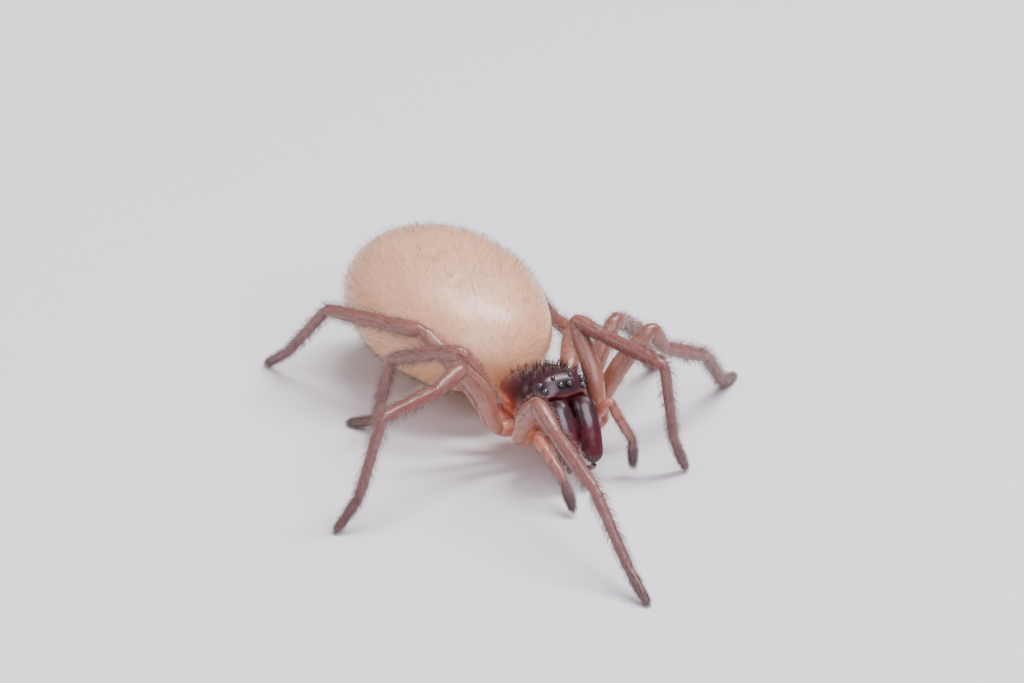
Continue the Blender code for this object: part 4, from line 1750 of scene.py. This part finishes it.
@dataclass
class Mouthparts:
    """The feelers beside the jaws, and the plates behind the mouth.

    Attributes:
        palps: Each feeler's side and its joints, as they would lie on the left.
        joints: Share of the length gone at each joint.
        radii: Rows of share of the length gone and radius.
        maxilla: Points along the left side plate.
        maxilla_radii: Rows of share of the plate's length gone and radius.
    """

    palps: tuple = (
        (Side.RIGHT, ((1.72, 1.32, -0.70), (2.35, 1.80, -0.50), (3.30, 1.84, -0.75), (4.25, 1.78, -1.20),
                      (5.10, 1.72, -1.95), (5.55, 1.70, -2.55))),
        (Side.LEFT, ((1.72, 1.32, -0.70), (1.98, 1.62, 0.05), (2.30, 1.94, 0.65), (2.66, 2.26, -0.15),
                     (3.10, 2.76, -1.05), (3.20, 2.84, -2.35))),
    )
    joints: tuple = (0.0, 0.14, 0.36, 0.50, 0.74, 1.0)
    radii: tuple = (
        (0.0, 0.24), (0.10, 0.26), (0.14, 0.22), (0.22, 0.26), (0.34, 0.24), (0.38, 0.20), (0.45, 0.235),
        (0.51, 0.20), (0.60, 0.215), (0.72, 0.19), (0.75, 0.17), (0.84, 0.185), (0.93, 0.15), (1.0, 0.09),
    )
    maxilla: tuple = ((1.22, 0.86, -1.18), (1.32, 0.80, -1.22), (1.52, 0.68, -1.28), (1.80, 0.54, -1.34),
                      (2.02, 0.46, -1.38), (2.12, 0.43, -1.40))
    maxilla_radii: tuple = ((0.0, 0.16), (0.2, 0.24), (0.45, 0.28), (0.7, 0.27), (0.9, 0.20), (1.0, 0.14))

    def palp_sweep(self, side: Side, knots: tuple) -> Sweep:
        """The feeler's line through its joints, softened at each by a moving bell curve."""
        line, gone, travel = soften(side.place(knots), 0.01, 50, 0.14)
        return Sweep(line, gone / travel[-1], tapered(self.radii), root=0.2, tip=0.09)

    @staticmethod
    def lip_shape(u: Array, v: Array) -> Array:
        """The lip behind the mouth, a small flat egg.

        Args:
            u: Share of a turn round the surface.
            v: Share of the way along it.

        Returns:
            The points, in millimetres.
        """
        a, turn = angles(u, v)
        return np.stack([1.30 + 0.22 * np.sin(a) * np.cos(turn), 0.26 * np.sin(a) * np.sin(turn),
                         -1.44 + 0.13 * np.cos(a)], -1)

    def build(self, builder: Builder) -> None:
        """Makes both feelers with their coats, the side plates and the lip.

        Args:
            builder: Takes the finished pieces, and holds the finishes.
        """
        finishes = builder.finishes
        for side, knots in self.palps:
            sweep = self.palp_sweep(side, knots)
            surface = Surface(sweep.shape, lambda u, v, p: 0.004 * ripples(p, 0.5, 50))

            def marks(u: Array, v: Array, points: Array, s: Sweep = sweep) -> dict[str, Array]:
                """Place along the feeler, closeness of a joint and height on its ring.

                Args:
                    u: Share of a turn round the surface.
                    v: Share of the way along it.
                    points: The surface's points there, in millimetres.
                    s: The feeler's sweep.

                Returns:
                    The numbers that the material reads, by name.
                """
                place = s.place_at(v)
                near = np.abs(place[..., None] - np.array(self.joints[1:-1])).min(-1)
                return {"along": place, "joint": np.exp(-(near / 0.02) ** 2), "over": np.sin(u * TURN)}

            piece = skin(f"palp_{side.word}_skin", surface, 36, rings(170, 0.2), marks)
            builder.add(piece, finishes.palp, Slot.LEG, f"palp_{side.word}")
            builder.coat(f"palp_{side.word}_coat", surface, finishes.hair_leg, Slot.LEG,
                         count=700, seed=300 + side.value, length=lambda u, v, p: 0.22 + 0.08 * v,
                         radius=0.0045, lift=(0.45, 0.95), stray=0.22,
                         weight=lambda u, v, p: np.clip(v * 2 - 0.3, 0.05, 1))
            builder.coat(f"palp_{side.word}_foot_coat", surface, finishes.hair_dark, Slot.LEG,
                         count=650, seed=310 + side.value, length=lambda u, v, p: np.full(u.shape, 0.26),
                         radius=0.0048, lift=(0.3, 0.75), stray=0.2,
                         weight=lambda u, v, p: np.clip(v * 4 - 2.7, 0, 1))
        part = np.linspace(0, 1, 60)
        for side in Side:
            plate = Sweep(through(side.place(self.maxilla), part), part, tapered(self.maxilla_radii),
                          root=0.08, tip=0.10)
            piece = skin(f"maxilla_{side.word}_skin", Surface(plate.shape), 32, rings(40))
            builder.add(piece, finishes.flesh, Slot.COXA, f"maxilla_{side.word}")
        lip = skin("labium_skin", Surface(self.lip_shape), 32, rings(24))
        builder.add(lip, finishes.flesh, Slot.COXA, "labium")


@dataclass
class Spinnerets:
    """The two pairs of spinning tubes at the tail.

    Attributes:
        tubes: Each pair's name, its left tube's two ends and its radius.
        shift: How far the tail lies to the side.
        profile: Rows of share of the length gone and share of the radius.
    """

    tubes: tuple = (
        ("front", ((-13.10, 0.36, -0.46), (-13.70, 0.42, -0.88)), 0.24),
        ("back", ((-13.72, 0.30, -0.04), (-14.40, 0.38, -0.21)), 0.20),
    )
    shift: float = -0.15
    profile: tuple = ((0.0, 0.70), (0.1, 0.95), (0.5, 1.0), (0.62, 0.86), (0.7, 0.88), (0.85, 0.8),
                      (1.0, 0.6))

    def build(self, builder: Builder) -> None:
        """Makes each tube as a tapered finger with a tuft of hair.

        Args:
            builder: Takes the finished pieces, and holds the finishes.
        """
        finishes = builder.finishes
        for pair, ends, radius in self.tubes:
            for side in Side:
                name = f"spinneret_{pair}_{side.word}"
                line = np.linspace(*(side.place(ends) + (0, self.shift, 0)), 50)
                tube = Sweep(line, np.linspace(0, 1, 50), tapered(self.profile, radius), root=0.05)
                surface = Surface(tube.shape)
                piece = skin(name + "_skin", surface, 28, rings(40),
                             lambda u, v, p: {"along": v, "joint": v * 0, "over": v * 0})
                builder.add(piece, finishes.palp, Slot.COXA, name)
                builder.coat(name + "_coat", surface, finishes.hair_leg, Slot.COXA,
                             count=160, seed=400 + side.value + int(radius * 100),
                             length=lambda u, v, p: np.full(u.shape, 0.14), radius=0.006, lift=(0.3, 0.8))


@dataclass
class Studio:
    """Floor, soft lights and camera.

    Attributes:
        azimuth: The camera's azimuth, in degrees.
        elevation: Its elevation.
        roll: Its roll.
        lens: Its focal length, in millimetres.
        sensor: Width of its sensor.
        picture: Width and height of the picture, in pixels.
        body_middle_px: The pixel that the middle of the front body falls on.
        distance: From the camera to the plane of the focus, in millimetres.
        focus: The point that the distance is measured from, as (forward, left, up).
        floor_reach: Half the floor's width.
        lights: Each light's name, azimuth, elevation, distance and size in metres, power, colour and turn.
        sky: Colour of the light from all round.
        sky_strength: Its strength.
    """

    azimuth: float = -32.0
    elevation: float = 25.0
    roll: float = 4.0
    lens: float = 178.0
    sensor: float = 36.0
    picture: tuple[float, float] = (1024.0, 683.0)
    body_middle_px: tuple[float, float] = (546.0, 401.0)
    distance: float = 230.0
    focus: tuple[float, float, float] = (-3.0, 0.0, -0.5)
    floor_reach: float = 900.0
    lights: tuple = (
        ("key", 92, 71, 0.32, (0.28, 0.075), 1.70, (1.0, 0.985, 0.99), 76),
        ("front", -8, 46, 0.36, (0.34, 0.26), 1.30, (0.89, 0.84, 1.0), 0),
        ("side", -100, 30, 0.40, (0.30, 0.20), 0.45, (1.0, 0.97, 0.96), 0),
    )
    sky: Colour = (0.92, 0.89, 0.98)
    sky_strength: float = 0.38

    def axes(self) -> tuple[Array, Array, Array]:
        """The camera's right, up and backward directions in the model's axes, after its roll.

        Returns:
            The three unit directions.
        """
        back = facing(self.azimuth, self.elevation)
        azimuth, roll = math.radians(self.azimuth), math.radians(self.roll)
        right = np.array([math.cos(azimuth), math.sin(azimuth), 0])
        turned = right * math.cos(roll) + np.cross(back, right) * math.sin(roll)
        return turned, np.cross(back, turned), back

    def camera(self) -> None:
        """Sets the camera so that the middle of the front body falls on its pixel."""
        right, up, back = self.axes()
        middle = to_frame(np.zeros(3))
        depth = self.distance * MM - (middle - to_frame(np.array(self.focus))) @ back
        scale = self.picture[0] * self.lens / self.sensor / depth
        aside, below = ((pixel - size / 2) / scale for pixel, size in zip(self.body_middle_px, self.picture))
        data = bpy.data.cameras.new("camera")
        data.lens, data.sensor_width = self.lens, self.sensor
        data.clip_start, data.clip_end = 0.01, 20
        camera = bpy.data.objects.new("camera", data)
        bpy.context.scene.collection.objects.link(camera)
        spot = middle + back * depth - right * aside + up * below
        turn = Matrix(np.stack([right, up, back], 1).tolist()).to_4x4()
        camera.matrix_world = Matrix.Translation(Vector(spot)) @ turn
        bpy.context.scene.camera = camera

    @staticmethod
    def light(name: str, azimuth: float, elevation: float, distance: float, size: tuple[float, float],
              power: float, colour: Colour, turn: float) -> None:
        """A soft box that looks at the animal, placed by angles and turned on its own axis, in degrees.

        Args:
            name: The light's name.
            azimuth: Where it stands, round the animal.
            elevation: How high it stands.
            distance: Its distance, in metres.
            size: Its width and height, in metres.
            power: Its power, in watts.
            colour: Its colour.
            turn: Its turn on its own axis.
        """
        data = bpy.data.lights.new(name, "AREA")
        data.shape, data.size, data.size_y = "RECTANGLE", *size
        data.energy, data.color = power, colour
        lamp = bpy.data.objects.new(name, data)
        bpy.context.scene.collection.objects.link(lamp)
        way = Vector(facing(azimuth, elevation))
        lamp.location = Vector(LIGHT_AIM) + way * distance
        spin = Matrix.Rotation(math.radians(turn), 4, "Z")
        lamp.rotation_euler = (way.to_track_quat("Z", "Y").to_matrix().to_4x4() @ spin).to_euler()

    def build(self, builder: Builder) -> None:
        """Makes the floor, lights and camera.

        Args:
            builder: Takes the finished pieces, and holds the finishes.
        """
        corners = np.array([[-1, -1, 0], [1, -1, 0], [1, 1, 0], [-1, 1, 0]]) * self.floor_reach
        floor = mesh_object("floor", corners + [0, 0, -BODY_HEIGHT - FLOOR_GAP], [np.array([[0, 1, 2, 3]])])
        floor.data.materials.append(builder.finishes.floor)
        floor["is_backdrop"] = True
        for light in self.lights:
            self.light(*light)
        world = bpy.data.worlds.new("studio")
        world.use_nodes = True
        background = world.node_tree.nodes["Background"]
        background.inputs[0].default_value = (*self.sky, 1)
        background.inputs[1].default_value = self.sky_strength
        bpy.context.scene.world = world
        self.camera()


def main() -> None:
    """Builds every sub-assembly in order, then the studio."""
    logging.basicConfig(level=logging.INFO, format="%(message)s")
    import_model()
    builder = Builder(Finishes())
    for assembly in (Abdomen(), FrontBody(), Eyes(), Jaws(), Legs(), Mouthparts(), Spinnerets(), Studio()):
        log.info("building %s", type(assembly).__name__)
        assembly.build(builder)


if __name__ == "__main__":
    main()
